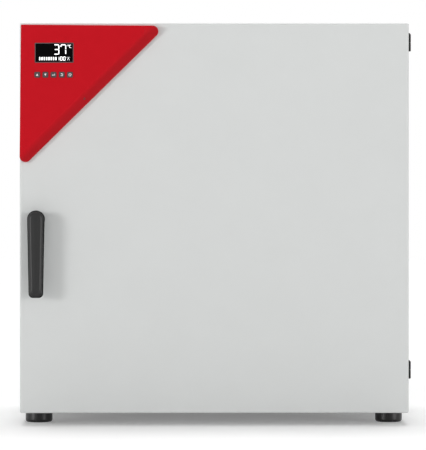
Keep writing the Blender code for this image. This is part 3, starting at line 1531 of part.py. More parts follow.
def make_glass_door(glass, root):
    """Glass pane with its knob, hinge clamps, brackets and seal."""
    pane = framed(
        GLASS_HALF_WIDTH,
        GLASS_HALF_HEIGHT,
        [
            (0.0005, GLASS_FRONT),
            (0.0, GLASS_FRONT + 0.0005),
            (0.0, GLASS_BACK - 0.0005),
            (0.0005, GLASS_BACK),
        ],
        0.003,
    )
    pane = add_piece("glass_pane", pane, glass, "glass")
    knob_x = -GLASS_HALF_WIDTH + GLASS_KNOB_INSET
    hole = round_outline((knob_x, MID_Z), GLASS_KNOB_STEM + SEAT_GAP, 16)
    spare = GLASS_THICKNESS
    cut(pane, prism(hole, "Y", GLASS_FRONT - spare, GLASS_BACK + spare))
    face = GLASS_FRONT - SEAT_GAP
    rear = GLASS_BACK + SEAT_GAP
    knob = turned(
        [
            (0.0, face - GLASS_KNOB_HEIGHT),
            (GLASS_KNOB_RADIUS * 0.86, face - GLASS_KNOB_HEIGHT),
            (GLASS_KNOB_RADIUS, face - GLASS_KNOB_HEIGHT * 0.75),
            (GLASS_KNOB_RADIUS, face - GLASS_KNOB_HEIGHT * 0.4),
            (GLASS_KNOB_RADIUS * 0.75, face - GLASS_KNOB_HEIGHT * 0.1),
            (GLASS_KNOB_RADIUS * 0.75, face),
            (GLASS_KNOB_STEM, face),
            (GLASS_KNOB_STEM, rear),
            (GLASS_NUT_RADIUS, rear),
            (GLASS_NUT_RADIUS, rear + GLASS_NUT_HEIGHT * 0.8),
            (GLASS_NUT_RADIUS * 0.85, rear + GLASS_NUT_HEIGHT),
            (0.0, rear + GLASS_NUT_HEIGHT),
        ],
        "Y",
        (knob_x, MID_Z),
        20,
    )
    add_piece("glass_door_knob", knob, glass, "stainless", smooth=True)
    for end, name in ((1, "upper"), (-1, "lower")):
        make_glass_hinge(glass, root, end, name)
    loops = []
    inset = GLASS_SEAL_INSET
    front = FRAME_RECESS_DEPTH - SEAT_GAP - GLASS_SEAL_HEIGHT
    back = FRAME_RECESS_DEPTH - SEAT_GAP
    for offset, y in (
        (inset, back),
        (inset, front + GLASS_SEAL_HEIGHT * 0.3),
        (inset + GLASS_SEAL_WIDTH * 0.3, front),
        (inset + GLASS_SEAL_WIDTH * 0.7, front),
        (inset + GLASS_SEAL_WIDTH, front + GLASS_SEAL_HEIGHT * 0.3),
        (inset + GLASS_SEAL_WIDTH, back),
    ):
        loops.append(
            rectangle_loop(
                CHAMBER_HALF_WIDTH + offset, CHAMBER_HALF_HEIGHT + offset, 0.004 + offset, y, steps=2
            )
        )
    add_piece("glass_door_seal", loft(loops, ring=True), root, "seal")


def make_glass_hinge(glass, root, end, name):
    """A clamp over the pane's corner with a pivot, and the bracket that holds the pivot."""
    radius = GLASS_THICKNESS / 2 + CLAMP_WALL
    edge = MID_Z + end * GLASS_HALF_HEIGHT
    low = edge - end * CLAMP_GRIP
    top = edge + end * (CLAMP_WALL - SEAT_GAP)
    outline = [
        (GLASS_AXIS_X - CLAMP_LENGTH, GLASS_AXIS_Y - radius),
        (GLASS_AXIS_X, GLASS_AXIS_Y - radius),
    ]
    for k in range(1, 8):
        angle = -math.pi / 2 + math.pi * k / 8
        outline.append(
            (GLASS_AXIS_X + radius * math.cos(angle), GLASS_AXIS_Y + radius * math.sin(angle))
        )
    outline += [
        (GLASS_AXIS_X, GLASS_AXIS_Y + radius),
        (GLASS_AXIS_X - CLAMP_LENGTH, GLASS_AXIS_Y + radius),
    ]
    shape = prism(outline, "Z", *sorted((low, top)))
    clamp = add_piece(f"glass_hinge_clamp_{name}", shape, glass, "stainless")
    pivot = round_outline((GLASS_AXIS_X, GLASS_AXIS_Y), PIVOT_RADIUS, 12)
    tip = top + end * PIVOT_LENGTH
    join(clamp, prism(pivot, "Z", *sorted((top - end * SEAT_GAP * 3, tip))))
    slot_low = low - end * CLAMP_WALL
    slot_top = edge + end * SEAT_GAP
    z0, z1 = sorted((slot_low, slot_top))
    cut(
        clamp,
        block(
            (GLASS_AXIS_X - 2 * CLAMP_LENGTH, GLASS_FRONT - SEAT_GAP, z0),
            (GLASS_HALF_WIDTH + SEAT_GAP, GLASS_BACK + SEAT_GAP, z1),
        ),
    )
    seat = top + end * 2 * SEAT_GAP
    wall = MID_Z + end * (RECESS_HALF_HEIGHT - SEAT_GAP)
    z0, z1 = sorted((seat, wall))
    bracket = prism(
        rounded_outline(
            [
                (GLASS_AXIS_X - 0.010, FRAME_RECESS_DEPTH - SEAT_GAP),
                (GLASS_AXIS_X - 0.010, GLASS_AXIS_Y - radius),
                (RECESS_HALF_WIDTH - SEAT_GAP, GLASS_AXIS_Y - radius),
                (RECESS_HALF_WIDTH - SEAT_GAP, FRAME_RECESS_DEPTH - SEAT_GAP),
            ],
            [0, 0.002, 0.004, 0.004],
            3,
        ),
        "Z",
        z0,
        z1,
    )
    bracket = add_piece(f"glass_hinge_bracket_{name}", bracket, root, "stainless")
    spare = SEAT_GAP * 3
    hole = round_outline((GLASS_AXIS_X, GLASS_AXIS_Y), PIVOT_RADIUS + PIVOT_CLEARANCE, 12)
    cut(bracket, prism(hole, "Z", z0 - spare, z1 + spare))


# Shelves


def make_shelf(name, index, holder):
    """Wire shelf: a rod frame that lies on a pair of rails, cross bars and lengthwise wires."""
    half = CHAMBER_HALF_WIDTH - SHELF_SIDE_PLAY - SHELF_FRAME_RADIUS
    z = rail_height(index) + SHELF_FRAME_RADIUS + SEAT_GAP
    y0 = CHAMBER_FRONT + SHELF_FRONT_INSET
    y1 = CHAMBER_BACK - SHELF_REAR_INSET
    corner = 0.010
    path = rounded_outline([(-half, y0), (half, y0), (half, y1), (-half, y1)], [corner] * 4, 3)
    rows = []
    sides = 8
    for i, (x, y) in enumerate(path):
        here = Vector((x, y))
        arriving = (here - Vector(path[i - 1])).normalized()
        leaving = (Vector(path[(i + 1) % len(path)]) - here).normalized()
        along = (arriving + leaving).normalized()
        across = Vector((along.y, -along.x)) / along.dot(leaving)
        row = []
        for j in range(sides):
            turn = 2 * math.pi * (j + 0.5) / sides
            out = across * SHELF_FRAME_RADIUS * math.cos(turn)
            row.append((x + out.x, y + out.y, z + SHELF_FRAME_RADIUS * math.sin(turn)))
        rows.append(row)
    shelf = add_piece(name, loft(rows, ring=True), holder, "chromed_wire", smooth=True)
    bars = bmesh.new()
    for k in range(1, SHELF_CROSS_BARS + 1):
        y = y0 + (y1 - y0) * k / (SHELF_CROSS_BARS + 1)
        rod((-half, y, z), (half, y, z), SHELF_FRAME_RADIUS * 0.8, 6, bars)
    join(shelf, bars)
    wires = bmesh.new()
    count = round((half * 2) / SHELF_WIRE_PITCH)
    pitch = half * 2 / count
    rise = z + SHELF_FRAME_RADIUS * 0.62
    for k in range(1, count):
        x = -half + k * pitch
        rod((x, y0, rise), (x, y1, rise), SHELF_WIRE_RADIUS, 6, wires)
    join(shelf, wires)


def main():
    """Build the whole incubator."""
    remove_all_objects()
    cabinet = empty("cabinet", None, CABINET_PLACE)
    hinge_axis = (HINGE_AXIS_X, HINGE_AXIS_Y, MID_Z)
    door = empty("door_axis", cabinet, hinge_axis)
    make_casing(cabinet)
    make_feet(cabinet)
    make_front_frame(cabinet)
    make_tank(cabinet)
    make_side_walls(cabinet)
    make_floor_and_ceiling(cabinet)
    make_chamber_rear_wall(cabinet)
    make_insulation(cabinet)
    make_motor(cabinet)
    make_fan(empty("fan_axis", cabinet, (0.0, TANK_BACK, MID_Z)))
    make_heater(cabinet)
    make_probe(cabinet)
    make_power_board(cabinet)
    make_mains_inlet(cabinet)
    make_network_socket(cabinet)
    make_door_shell(door)
    make_hinges(cabinet, door)
    handle_place = Vector((HANDLE_X, DOOR_FRONT, HANDLE_Z)) - Vector(hinge_axis)
    make_handle(empty("handle_axis", door, handle_place), door, cabinet)
    make_panel(door)
    for name, (x, z) in zip(KEY_NAMES, key_places()):
        place = Vector((x, panel_face(x, z), z)) - Vector(hinge_axis)
        make_key(name, (x, z), empty(f"{name}_axis", door, place, panel_turn()))
    glass = empty("glass_door_axis", cabinet, (GLASS_AXIS_X, GLASS_AXIS_Y, MID_Z))
    make_glass_door(glass, cabinet)
    for name, index in zip(("shelf_lower", "shelf_upper"), SHELF_RAILS):
        holder = empty(f"{name}_axis", cabinet, (0.0, CHAMBER_FRONT, rail_height(index)))
        make_shelf(name, index, holder)


main()
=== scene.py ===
"""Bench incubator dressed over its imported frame: painted steel door and housing, red moulded
control panel, black lever handle, stainless chamber with wire shelves and an inner glass door."""

import logging
import math
from collections.abc import Callable, Iterable, Sequence
from dataclasses import dataclass, field, replace
from enum import Enum

import bmesh
import bpy
from mathutils import Matrix, Vector


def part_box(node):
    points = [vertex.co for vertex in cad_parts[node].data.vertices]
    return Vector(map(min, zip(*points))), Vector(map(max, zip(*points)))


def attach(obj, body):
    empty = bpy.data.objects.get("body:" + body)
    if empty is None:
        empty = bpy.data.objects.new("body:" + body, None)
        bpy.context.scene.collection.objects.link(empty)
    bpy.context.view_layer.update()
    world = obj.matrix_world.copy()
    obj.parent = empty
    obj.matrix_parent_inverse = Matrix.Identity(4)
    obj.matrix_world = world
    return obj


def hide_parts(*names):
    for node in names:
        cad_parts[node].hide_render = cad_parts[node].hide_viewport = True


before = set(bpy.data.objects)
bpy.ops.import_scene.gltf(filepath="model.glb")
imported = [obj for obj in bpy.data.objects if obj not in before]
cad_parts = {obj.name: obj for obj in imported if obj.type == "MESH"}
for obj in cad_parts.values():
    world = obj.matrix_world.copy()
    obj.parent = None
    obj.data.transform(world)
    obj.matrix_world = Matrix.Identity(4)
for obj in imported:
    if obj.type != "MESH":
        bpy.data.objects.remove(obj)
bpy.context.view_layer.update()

LOG = logging.getLogger("incubator")

Point = tuple[float, float, float]
Flat = tuple[float, float]
Piece = bpy.types.Object
Socket = bpy.types.NodeSocket
Test = Callable[[Vector, Vector], bool]
MM = 0.001


def linear_rgb(hex_colour: str) -> tuple[float, float, float, float]:
    """Turn an sRGB hex colour into a linear colour with full alpha.

    Args:
        hex_colour: Six hex digits, such as "D4D6D5".

    Returns:
        Red, green, blue and alpha, from 0 to 1.
    """
    channels = []
    for start in (0, 2, 4):
        value = int(hex_colour[start : start + 2], 16) / 255
        channels.append(value / 12.92 if value <= 0.04045 else ((value + 0.055) / 1.055) ** 2.4)
    return (channels[0], channels[1], channels[2], 1.0)


class Axis(Enum):
    """A direction in the object's frame."""

    X = 0
    Y = 1
    Z = 2


class Side(Enum):
    """A side of the object, with the sign of its direction."""

    LEFT = -1
    RIGHT = 1


class Facing(Enum):
    """Where a face looks along Y, with the sign of its direction."""

    FRONT = -1
    BACK = 1


class Nodes:
    """A node tree, with one short call that adds a node and joins it."""

    def __init__(self, tree: bpy.types.NodeTree) -> None:
        """Remember the tree to add to."""
        self.tree = tree

    def add(self, kind: str, inputs: dict | None = None, **settings: object) -> bpy.types.Node:
        """Add a node.

        Args:
            kind: The node's type name.
            inputs: What its sockets get, by name or number: a socket, a hex colour or a value.
            **settings: Values for the node's own properties.

        Returns:
            The new node.
        """
        node = self.tree.nodes.new(kind)
        for key, value in settings.items():
            setattr(node, key, value)
        for key, value in (inputs or {}).items():
            self.feed(node.inputs[key], value)
        return node

    def feed(self, target: Socket, value: object) -> None:
        """Join a socket to another one, or give it a hex colour or a plain value.

        Args:
            target: The input socket.
            value: What it gets.
        """
        if isinstance(value, Socket):
            self.tree.links.new(value, target)
        else:
            target.default_value = linear_rgb(value) if isinstance(value, str) else value


class Graph(Nodes):
    """The node graph of one material round its one shader."""

    def __init__(self, name: str) -> None:
        """Start a material.

        Args:
            name: The material's name.
        """
        self.material = bpy.data.materials.new(name)
        self.material.use_nodes = True
        super().__init__(self.material.node_tree)
        self.shader = self.tree.nodes["Principled BSDF"]

    def place(self, stretch: Point = (1.0, 1.0, 1.0), turn: Point = (0.0, 0.0, 0.0)) -> Socket:
        """Object coordinates, stretched and turned.

        Args:
            stretch: Factor for each axis; a small one draws the pattern out along it.
            turn: Rotation in degrees about each axis.

        Returns:
            The vector socket.
        """
        coordinates = self.add("ShaderNodeTexCoord").outputs["Object"]
        angles = [math.radians(angle) for angle in turn]
        inputs = {"Vector": coordinates, "Scale": stretch, "Rotation": angles}
        return self.add("ShaderNodeMapping", inputs).outputs["Vector"]

    def pattern(self, grain_mm: float, detail: float = 2.0, where: Socket | None = None) -> Socket:
        """Soft random pattern with a real grain size, fixed to the piece.

        Args:
            grain_mm: Size of one bump or blotch in millimetres.
            detail: How many finer layers it has.
            where: Where it is read; plain object coordinates if left out.

        Returns:
            The factor socket, about 0.3 to 0.7.
        """
        scale = 1.0 / (grain_mm * MM)
        inputs = {"Vector": where or self.place(), "Scale": scale, "Detail": detail}
        return self.add("ShaderNodeTexNoise", inputs).outputs["Fac"]

    def surface(
        self,
        colours: tuple[Socket, str, str],
        gloss: tuple[Socket, Flat] | None,
        relief: Sequence[tuple[Socket, float]],
        **values: float | str,
    ) -> None:
        """Give the shader its colour, its gloss, its relief and its plain values.

        Args:
            colours: A pattern, and the hex colour where it is low and where it is high.
            gloss: A pattern, and the roughness where it is low and where it is high.
            relief: Patterns, each with its real height in millimetres.
            **values: Values for the shader's own sockets, named with _ for a space.
        """
        mix = self.add("ShaderNodeMix", dict(zip((0, 6, 7), colours)), data_type="RGBA")
        fed: dict[str, object] = {"Base Color": mix.outputs[2], **values}
        if gloss:
            pattern, (low, high) = gloss
            ends = {"From Min": 0.3, "From Max": 0.7, "To Min": low, "To Max": high}
            spread = self.add("ShaderNodeMapRange", {"Value": pattern, **ends})
            fed["Roughness"] = spread.outputs["Result"]
        under: dict[str, Socket] = {}
        for pattern, height_mm in relief:
            inputs = {"Height": pattern, "Strength": 1.0, "Distance": height_mm * MM, **under}
            under = {"Normal": self.add("ShaderNodeBump", inputs).outputs["Normal"]}
        for key, value in {**fed, **under}.items():
            self.feed(self.shader.inputs[key.replace("_", " ")], value)


MADE: dict[str, bpy.types.Material] = {}


@dataclass(frozen=True)
class Finish:
    """A surface finish that can dress any number of pieces."""

    name: str

    def paint(self, g: Graph) -> None:
        """Fill the material's graph, as each finish does in its own way."""
        raise NotImplementedError

    def material(self) -> bpy.types.Material:
        """The material, built on first use.

        Returns:
            The material.
        """
        if self.name not in MADE:
            g = Graph(self.name)
            self.paint(g)
            MADE[self.name] = g.material
        return MADE[self.name]


@dataclass(frozen=True)
class PowderCoat(Finish):
    """Baked powder paint on sheet steel: a soft orange peel and a faint mottle."""

    colour: str = "D4D6D5"
    shade: str = "D1D3D2"
    peel_mm: float = 1.6
    peel_depth_mm: float = 0.012
    gloss: Flat = (0.36, 0.44)

    def paint(self, g: Graph) -> None:
        """Fill the material's graph.

        Args:
            g: The graph.
        """
        mottle = (g.pattern(60.0, 3.0), self.colour, self.shade)
        # Orange peel is what makes a highlight on baked powder paint break up at its edge.
        peel = (g.pattern(self.peel_mm, 1.0), self.peel_depth_mm)
        # Single powder grains give the paint its faint sparkle up close.
        grains = (g.pattern(0.25, 0.0), self.peel_depth_mm * 0.15)
        g.surface(mottle, (g.pattern(9.0), self.gloss), [peel, grains])


@dataclass(frozen=True)
class MouldedPlastic(Finish):
    """Injection-moulded plastic with a fine spark-eroded grain."""

    colour: str = "303030"
    worn: str = "363636"
    grain_mm: float = 0.35
    grain_depth_mm: float = 0.010
    gloss: Flat = (0.38, 0.50)
    sheen: float = 0.3

    def paint(self, g: Graph) -> None:
        """Fill the material's graph.

        Args:
            g: The graph.
        """
        wear = (g.pattern(25.0), self.colour, self.worn)
        # Eroded mould steel leaves a fine regular grain that dulls the gloss.
        grain = (g.pattern(self.grain_mm, 1.0), self.grain_depth_mm)
        g.surface(wear, (g.pattern(4.0), self.gloss), [grain], Specular_IOR_Level=self.sheen)


@dataclass(frozen=True)
class PaintedShadePlastic(MouldedPlastic):
    """Moulded plastic with painted shade that darkens it along one long slanting edge."""

    painted_shade_colour: str = "AC141D"
    shade_edge_end: float = 0.0
    shade_edge_width: float = 0.030

    def paint(self, g: Graph) -> None:
        """Fill the material's graph.

        Args:
            g: The graph.
        """
        super().paint(g)
        base = g.shader.inputs["Base Color"].links[0].from_socket
        inputs = {0: g.place(), 1: (1.0, 0.0, -1.0)}
        across = g.add("ShaderNodeVectorMath", inputs, operation="DOT_PRODUCT").outputs["Value"]
        start, end = self.shade_edge_end - self.shade_edge_width, self.shade_edge_end - self.shade_edge_width / 2
        inputs = {"Value": across, "From Min": start, "From Max": end}
        share = g.add("ShaderNodeMapRange", inputs, interpolation_type="SMOOTHSTEP")
        # Painted shade: the colour darkens towards the long slanting edge, where the rolled edge faces
        # down and away from the light.
        colours = {0: share.outputs["Result"], 6: base, 7: self.painted_shade_colour}
        mix = g.add("ShaderNodeMix", colours, data_type="RGBA")
        g.feed(g.shader.inputs["Base Color"], mix.outputs[2])


@dataclass(frozen=True)
class Rubber(Finish):
    """Moulded rubber or silicone: dull, with a slight bloom in patches."""

    colour: str = "1C1C1C"
    bloom: str = "2B2B2B"
    gloss: Flat = (0.45, 0.65)
    sheen: float = 0.2

    def paint(self, g: Graph) -> None:
        """Fill the material's graph.

        Args:
            g: The graph.
        """
        # Wax that rises to the skin of rubber leaves it paler in patches.
        bloom = (g.pattern(12.0, 4.0), self.colour, self.bloom)
        gloss = (g.pattern(6.0, 3.0), self.gloss)
        g.surface(bloom, gloss, [(g.pattern(0.6), 0.015)], Specular_IOR_Level=self.sheen)


@dataclass(frozen=True)
class BrushedSteel(Finish):
    """Stainless sheet with a rolled or brushed grain along one axis."""

    colour: str = "B4B6B7"
    shade: str = "A4A6A8"
    grain: Axis = Axis.X
    gloss: Flat = (0.26, 0.40)
    length_mm: float = 40.0
    width_mm: float = 0.4

    def paint(self, g: Graph) -> None:
        """Fill the material's graph.

        Args:
            g: The graph.
        """
        stretch = [1.0, 1.0, 1.0]
        stretch[self.grain.value] = self.width_mm / self.length_mm
        lines = g.pattern(self.width_mm, 3.0, g.place(tuple(stretch)))
        tarnish = (g.pattern(80.0, 3.0), self.colour, self.shade)
        # Rolling marks a few thousandths of a millimetre deep draw highlights out across the grain.
        g.surface(tarnish, (lines, self.gloss), [(lines, 0.004)], Metallic=1.0)


@dataclass(frozen=True)
class TurnedMetal(Finish):
    """Machined or plated metal with a light satin finish."""

    colour: str = "C2C2C2"
    shade: str = "B4B4B4"
    gloss: Flat = (0.14, 0.24)

    def paint(self, g: Graph) -> None:
        """Fill the material's graph.

        Args:
            g: The graph.
        """
        tarnish = (g.pattern(8.0, 3.0), self.colour, self.shade)
        # Tool marks of a few micrometres soften the mirror image.
        marks = [(g.pattern(0.5), 0.002)]
        g.surface(tarnish, (g.pattern(1.5, 3.0), self.gloss), marks, Metallic=1.0)


@dataclass(frozen=True)
class ClearGlass(Finish):
    """Toughened float glass, faintly green through its edge."""

    tint: str = "E6F2EE"
    deep_tint: str = "DFEFEA"

    def paint(self, g: Graph) -> None:
        """Fill the material's graph.

        Args:
            g: The graph.
        """
        tint = (g.pattern(120.0, 1.0), self.tint, self.deep_tint)
        # Hand marks are the only thing that roughens float glass.
        marks = (g.pattern(30.0, 3.0), (0.0, 0.03))
        g.surface(tint, marks, [], IOR=1.52, Transmission_Weight=1.0)


@dataclass(frozen=True)
class CoverGlass(Finish):
    """Black-backed display cover with a hard, clear face."""

    colour: str = "030303"
    shade: str = "050505"

    def paint(self, g: Graph) -> None:
        """Fill the material's graph."""
        backing = (g.pattern(3.0, 1.0), self.colour, self.shade)
        # An anti-reflection layer keeps the cover dark in a bright room.
        g.surface(backing, (g.pattern(15.0), (0.08, 0.14)), [], Specular_IOR_Level=0.03)


@dataclass(frozen=True)
class PrintedInk(Finish):
    """Screen-printed ink with a slightly uneven lay."""

    colour: str = "F2F2F2"
    thin: str = "E4E4E4"

    def paint(self, g: Graph) -> None:
        """Fill the material's graph."""
        # The screen's mesh leaves the ink a little thinner in places, which reads greyer.
        lay = (g.pattern(0.8), self.colour, self.thin)
        g.surface(lay, (g.pattern(0.5), (0.45, 0.6)), [(g.pattern(0.15, 1.0), 0.004)])


@dataclass(frozen=True)
class LitSegment(Finish):
    """Lit segment of the display."""

    colour: str = "FFFFFF"
    dim: str = "E8E8E8"
    strength: float = 0.9

    def paint(self, g: Graph) -> None:
        """Fill the material's graph.

        Args:
            g: The graph.
        """
        # A segment's light is even, and the little grain is that of the diffuser over it.
        light = {"Emission_Color": self.colour, "Emission_Strength": self.strength}
        grain = (g.pattern(0.4, 1.0), self.dim, self.colour)
        g.surface(grain, None, [], Roughness=0.4, **light)


@dataclass(frozen=True)
class MineralWool(Finish):
    """Pressed mineral wool: short matted fibres in a yellowish binder."""

    colour: str = "C6B585"
    shade: str = "9E8D60"

    def paint(self, g: Graph) -> None:
        """Fill the material's graph.

        Args:
            g: The graph.
        """
        fibres = g.pattern(1.2, 8.0, g.place((1.0, 0.25, 1.0), (20.0, 0.0, 35.0)))
        ends = {"Value": fibres, "From Min": 0.3, "From Max": 0.7}
        matted = (g.add("ShaderNodeMapRange", ends).outputs["Result"], self.colour, self.shade)
        # Fibres that stand out of the pressed face make it matt and shaggy.
        g.surface(matted, None, [(fibres, 1.2)], Roughness=0.95, Sheen_Weight=0.2)


@dataclass(frozen=True)
class SolderMask(Finish):
    """Printed board: green solder mask over copper tracks."""

    colour: str = "1B5837"
    track: str = "2C7A4C"

    def paint(self, g: Graph) -> None:
        """Fill the material's graph.

        Args:
            g: The graph.
        """
        inputs = {"Vector": g.place(turn=(90.0, 0.0, 0.0)), "Scale": 90.0}
        inputs |= {"Mortar Size": 0.06, "Brick Width": 1.4}
        tracks = g.add("ShaderNodeTexBrick", inputs).outputs["Fac"]
        # Tracks stand 35 micrometres proud under the mask.
        g.surface((tracks, self.colour, self.track), None, [(tracks, 0.035)], Roughness=0.35)


DOOR_PAINT = PowderCoat("door_powder_coat")
HOUSING_PAINT = PowderCoat("housing_powder_coat", "D2D4D3", "CED0CF")
# Red moulding, with painted shade darkening it along its long rolled edge.
PANEL_RED = PaintedShadePlastic(
    "panel_red_moulding", "C1121F", "BC111D", 0.5, 0.006, (0.42, 0.52), 0.07
)
HANDLE_BLACK = MouldedPlastic("handle_black_moulding", "212121", "252525", 0.4, 0.012, (0.35, 0.43))
# Darker copy of the handle's black: painted shade for the lever's rim, where its edge turns away from
# the light.
HANDLE_SHADE_SHELL = MouldedPlastic("handle_rear_shell", "0C0C0C", "101010", 0.4, 0.012, (0.45, 0.6), 0.1)
SOCKET_BLACK = MouldedPlastic("socket_black_moulding", "1A1A1A", "202020", 0.3, 0.010, (0.35, 0.5))
HINGE_BLACK = MouldedPlastic("hinge_black_coat", "121212", "181818", 0.8, 0.010, (0.4, 0.55), 0.1)
KEY_GREY = MouldedPlastic("key_grey_moulding", "4A4041", "524748", 0.3, 0.008, (0.45, 0.6))
KEY_PRINT = PrintedInk("key_print_white")
PORT_PRINT = PrintedInk("port_mark_ink", "6A1016", "741218")
DISPLAY_COVER = CoverGlass("display_cover")
DISPLAY_FRAME = MouldedPlastic("display_frame_grey", "5A4A4C", "625254", 0.2, 0.004, (0.4, 0.5))
DISPLAY_LIT = LitSegment("display_lit_segment")
FOOT_RUBBER = Rubber("foot_rubber", "121212", "1B1B1B", (0.30, 0.38), 0.4)
SEAL_SILICONE = Rubber("seal_silicone", "4A4B4D", "5A5B5D", (0.4, 0.55))
CHAMBER_STEEL = BrushedSteel("chamber_steel_upright", grain=Axis.Z)
CHAMBER_STEEL_DEEP = BrushedSteel("chamber_steel_lengthwise", grain=Axis.Y)
FRAME_STEEL = BrushedSteel("front_frame_steel", "B6B8B9", "AAACAD", Axis.Z, (0.24, 0.36), 50.0)
LINER_STEEL = BrushedSteel("door_liner_steel", "BABCBD", "ACAEB0", Axis.Z, (0.28, 0.42), 60.0)
PLAIN_STEEL = BrushedSteel("plate_steel", "A8AAAC", "989A9C", Axis.X, (0.32, 0.46), 25.0)
TURNED_STEEL = TurnedMetal("turned_steel")
CHROMED_WIRE = TurnedMetal("chromed_wire", "D2D2D2", "C8C8C8", (0.08, 0.16))
ZINC_SCREW = TurnedMetal("zinc_screw", "B8BABD", "A6A8AB", (0.22, 0.36))
MOTOR_PAINT = PowderCoat("motor_lacquer", "808285", "74767A", 1.0, 0.010, (0.4, 0.55))
PANE_GLASS = ClearGlass("pane_glass")
WOOL = MineralWool("mineral_wool")
BOARD_GREEN = SolderMask("board_solder_mask")

CARRIED_OVER: dict[str, Finish] = {
    "compartment_plate": PLAIN_STEEL,
    "inner_tank": CHAMBER_STEEL_DEEP,
    "insulation_jacket": WOOL,
    "insulation_rear": WOOL,
    "door_insulation": WOOL,
    "ring_heater": PLAIN_STEEL,
    "fan_motor": MOTOR_PAINT,
    "fan_wheel": TURNED_STEEL,
    "motor_bracket": PLAIN_STEEL,
    "power_board": BOARD_GREEN,
    "controller_board": BOARD_GREEN,
    "handle_spindle": TURNED_STEEL,
}


def deselect_all() -> None:
    """Leave edit mode and deselect every object."""
    if bpy.context.mode != "OBJECT":
        bpy.ops.object.mode_set(mode="OBJECT")
    bpy.ops.object.select_all(action="DESELECT")


def pick(piece: Piece) -> None:
    """Make one object the only selected and active one.

    Args:
        piece: The object.
    """
    deselect_all()
    piece.select_set(True)
    bpy.context.view_layer.objects.active = piece


def settle(piece: Piece) -> Piece:
    """Move a piece's place into its mesh, so that its object sits at the origin.

    Args:
        piece: The piece.

    Returns:
        The same piece.
    """
    pick(piece)
    bpy.ops.object.transform_apply(location=True, rotation=True, scale=True)
    return piece


def new_block(name: str, low: Sequence[float], high: Sequence[float]) -> Piece:
    """Add a cube primitive between two corners.

    Args:
        name: The piece's name.
        low: Its lowest corner.
        high: Its highest corner.

    Returns:
        The settled object.
    """
    deselect_all()
    middle = [(a + b) / 2 for a, b in zip(low, high)]
    size = [b - a for a, b in zip(low, high)]
    bpy.ops.mesh.primitive_cube_add(size=1.0, location=middle, scale=size)
    bpy.context.object.name = name
    return settle(bpy.context.object)


def new_drum(
    name: str, radius: float, start: Sequence[float], axis: Axis, length: float, sides: int = 48
) -> Piece:
    """Add a cylinder primitive that runs along an axis.

    Args:
        name: The piece's name.
        radius: Its radius.
        start: Middle of its first end.
        axis: The axis it runs along, in the positive direction.
        length: Its length.
        sides: Number of faces round it.

    Returns:
        The settled object.
    """
    deselect_all()
    middle = list(start)
    middle[axis.value] += length / 2
    turn = {Axis.X: (0.0, math.pi / 2, 0.0), Axis.Y: (math.pi / 2, 0.0, 0.0), Axis.Z: (0.0, 0.0, 0.0)}
    bpy.ops.mesh.primitive_cylinder_add(
        vertices=sides, radius=radius, depth=length, location=middle, rotation=turn[axis]
    )
    bpy.context.object.name = name
    return settle(bpy.context.object)


class Edit:
    """Edit mode on one piece, in which faces and edges are chosen by their place."""

    def __init__(self, piece: Piece) -> None:
        """Remember the piece to edit."""
        self.piece = piece

    def __enter__(self) -> "Edit":
        """Enter edit mode with nothing selected.

        Returns:
            This edit.
        """
        pick(self.piece)
        bpy.ops.object.mode_set(mode="EDIT")
        bpy.ops.mesh.select_all(action="DESELECT")
        return self

    def __exit__(self, *_: object) -> None:
        """Go back to object mode."""
        bpy.ops.object.mode_set(mode="OBJECT")

    def faces(self, wanted: Test) -> "Edit":
        """Select the faces whose middle and normal pass a test, and nothing else.

        Args:
            wanted: The test.

        Returns:
            This edit, so that calls can follow each other.
        """
        bpy.ops.mesh.select_mode(type="FACE")
        bpy.ops.mesh.select_all(action="DESELECT")
        mesh = bmesh.from_edit_mesh(self.piece.data)
        for face in mesh.faces:
            face.select_set(wanted(face.calc_center_median(), face.normal))
        bmesh.update_edit_mesh(self.piece.data)
        return self

    def edges(self, wanted: Test) -> "Edit":
        """Select the edges whose two ends pass a test, and nothing else.

        Args:
            wanted: The test.

        Returns:
            This edit, so that calls can follow each other.
        """
        bpy.ops.mesh.select_mode(type="EDGE")
        bpy.ops.mesh.select_all(action="DESELECT")
        mesh = bmesh.from_edit_mesh(self.piece.data)
        for edge in mesh.edges:
            edge.select_set(wanted(edge.verts[0].co, edge.verts[1].co))
        bmesh.update_edit_mesh(self.piece.data)
        return self

    def bevel(self, width: float, segments: int = 3) -> "Edit":
        """Round the selected edges."""
        bpy.ops.mesh.bevel(offset=width, segments=segments, affect="EDGES", clamp_overlap=True)
        return self

    def inset(self, width: float) -> "Edit":
        """Inset the selected faces."""
        bpy.ops.mesh.inset(thickness=width, depth=0.0)
        return self

    def extrude(self, shift: Point) -> "Edit":
        """Extrude the selected faces along a vector."""
        bpy.ops.mesh.extrude_region_move(TRANSFORM_OT_translate={"value": shift})
        return self

    def resize(self, factors: Point, about: Sequence[float]) -> "Edit":
        """Scale what is selected about a point."""
        bpy.ops.transform.resize(value=factors, center_override=tuple(about))
        return self


def soften(piece: Piece, axis: Axis, level: float, width: float, segments: int) -> None:
    """Round a piece's edges in one plane across an axis."""
    with Edit(piece) as edit:
        edit.edges(at_level(axis, level)).bevel(width, segments)


def near(a: float, b: float, within: float = 1e-5) -> bool:
    """Whether two lengths agree."""
    return abs(a - b) < within


def along(axis: Axis) -> Test:
    """Test for edges that run along an axis, by their two ends."""
    others = [i for i in range(3) if i != axis.value]
    return lambda a, b: all(near(a[i], b[i]) for i in others)


def at_level(axis: Axis, level: float) -> Test:
    """Test for edges that lie in a plane across an axis, by their two ends."""
    return lambda a, b: near(a[axis.value], level) and near(b[axis.value], level)


def facing(direction: Point) -> Test:
    """Test for faces that look in a direction, by their middle and normal."""
    wanted = Vector(direction).normalized()
    return lambda _, normal: normal.dot(wanted) > 0.999


def middle_of(node: str) -> Flat:
    """Middle of a CAD piece seen from the front, X and Z."""
    low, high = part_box(node)
    return ((low[0] + high[0]) / 2, (low[2] + high[2]) / 2)


def half_of(node: str) -> Flat:
    """Half the width and half the height of a CAD piece."""
    low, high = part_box(node)
    return ((high[0] - low[0]) / 2, (high[2] - low[2]) / 2)


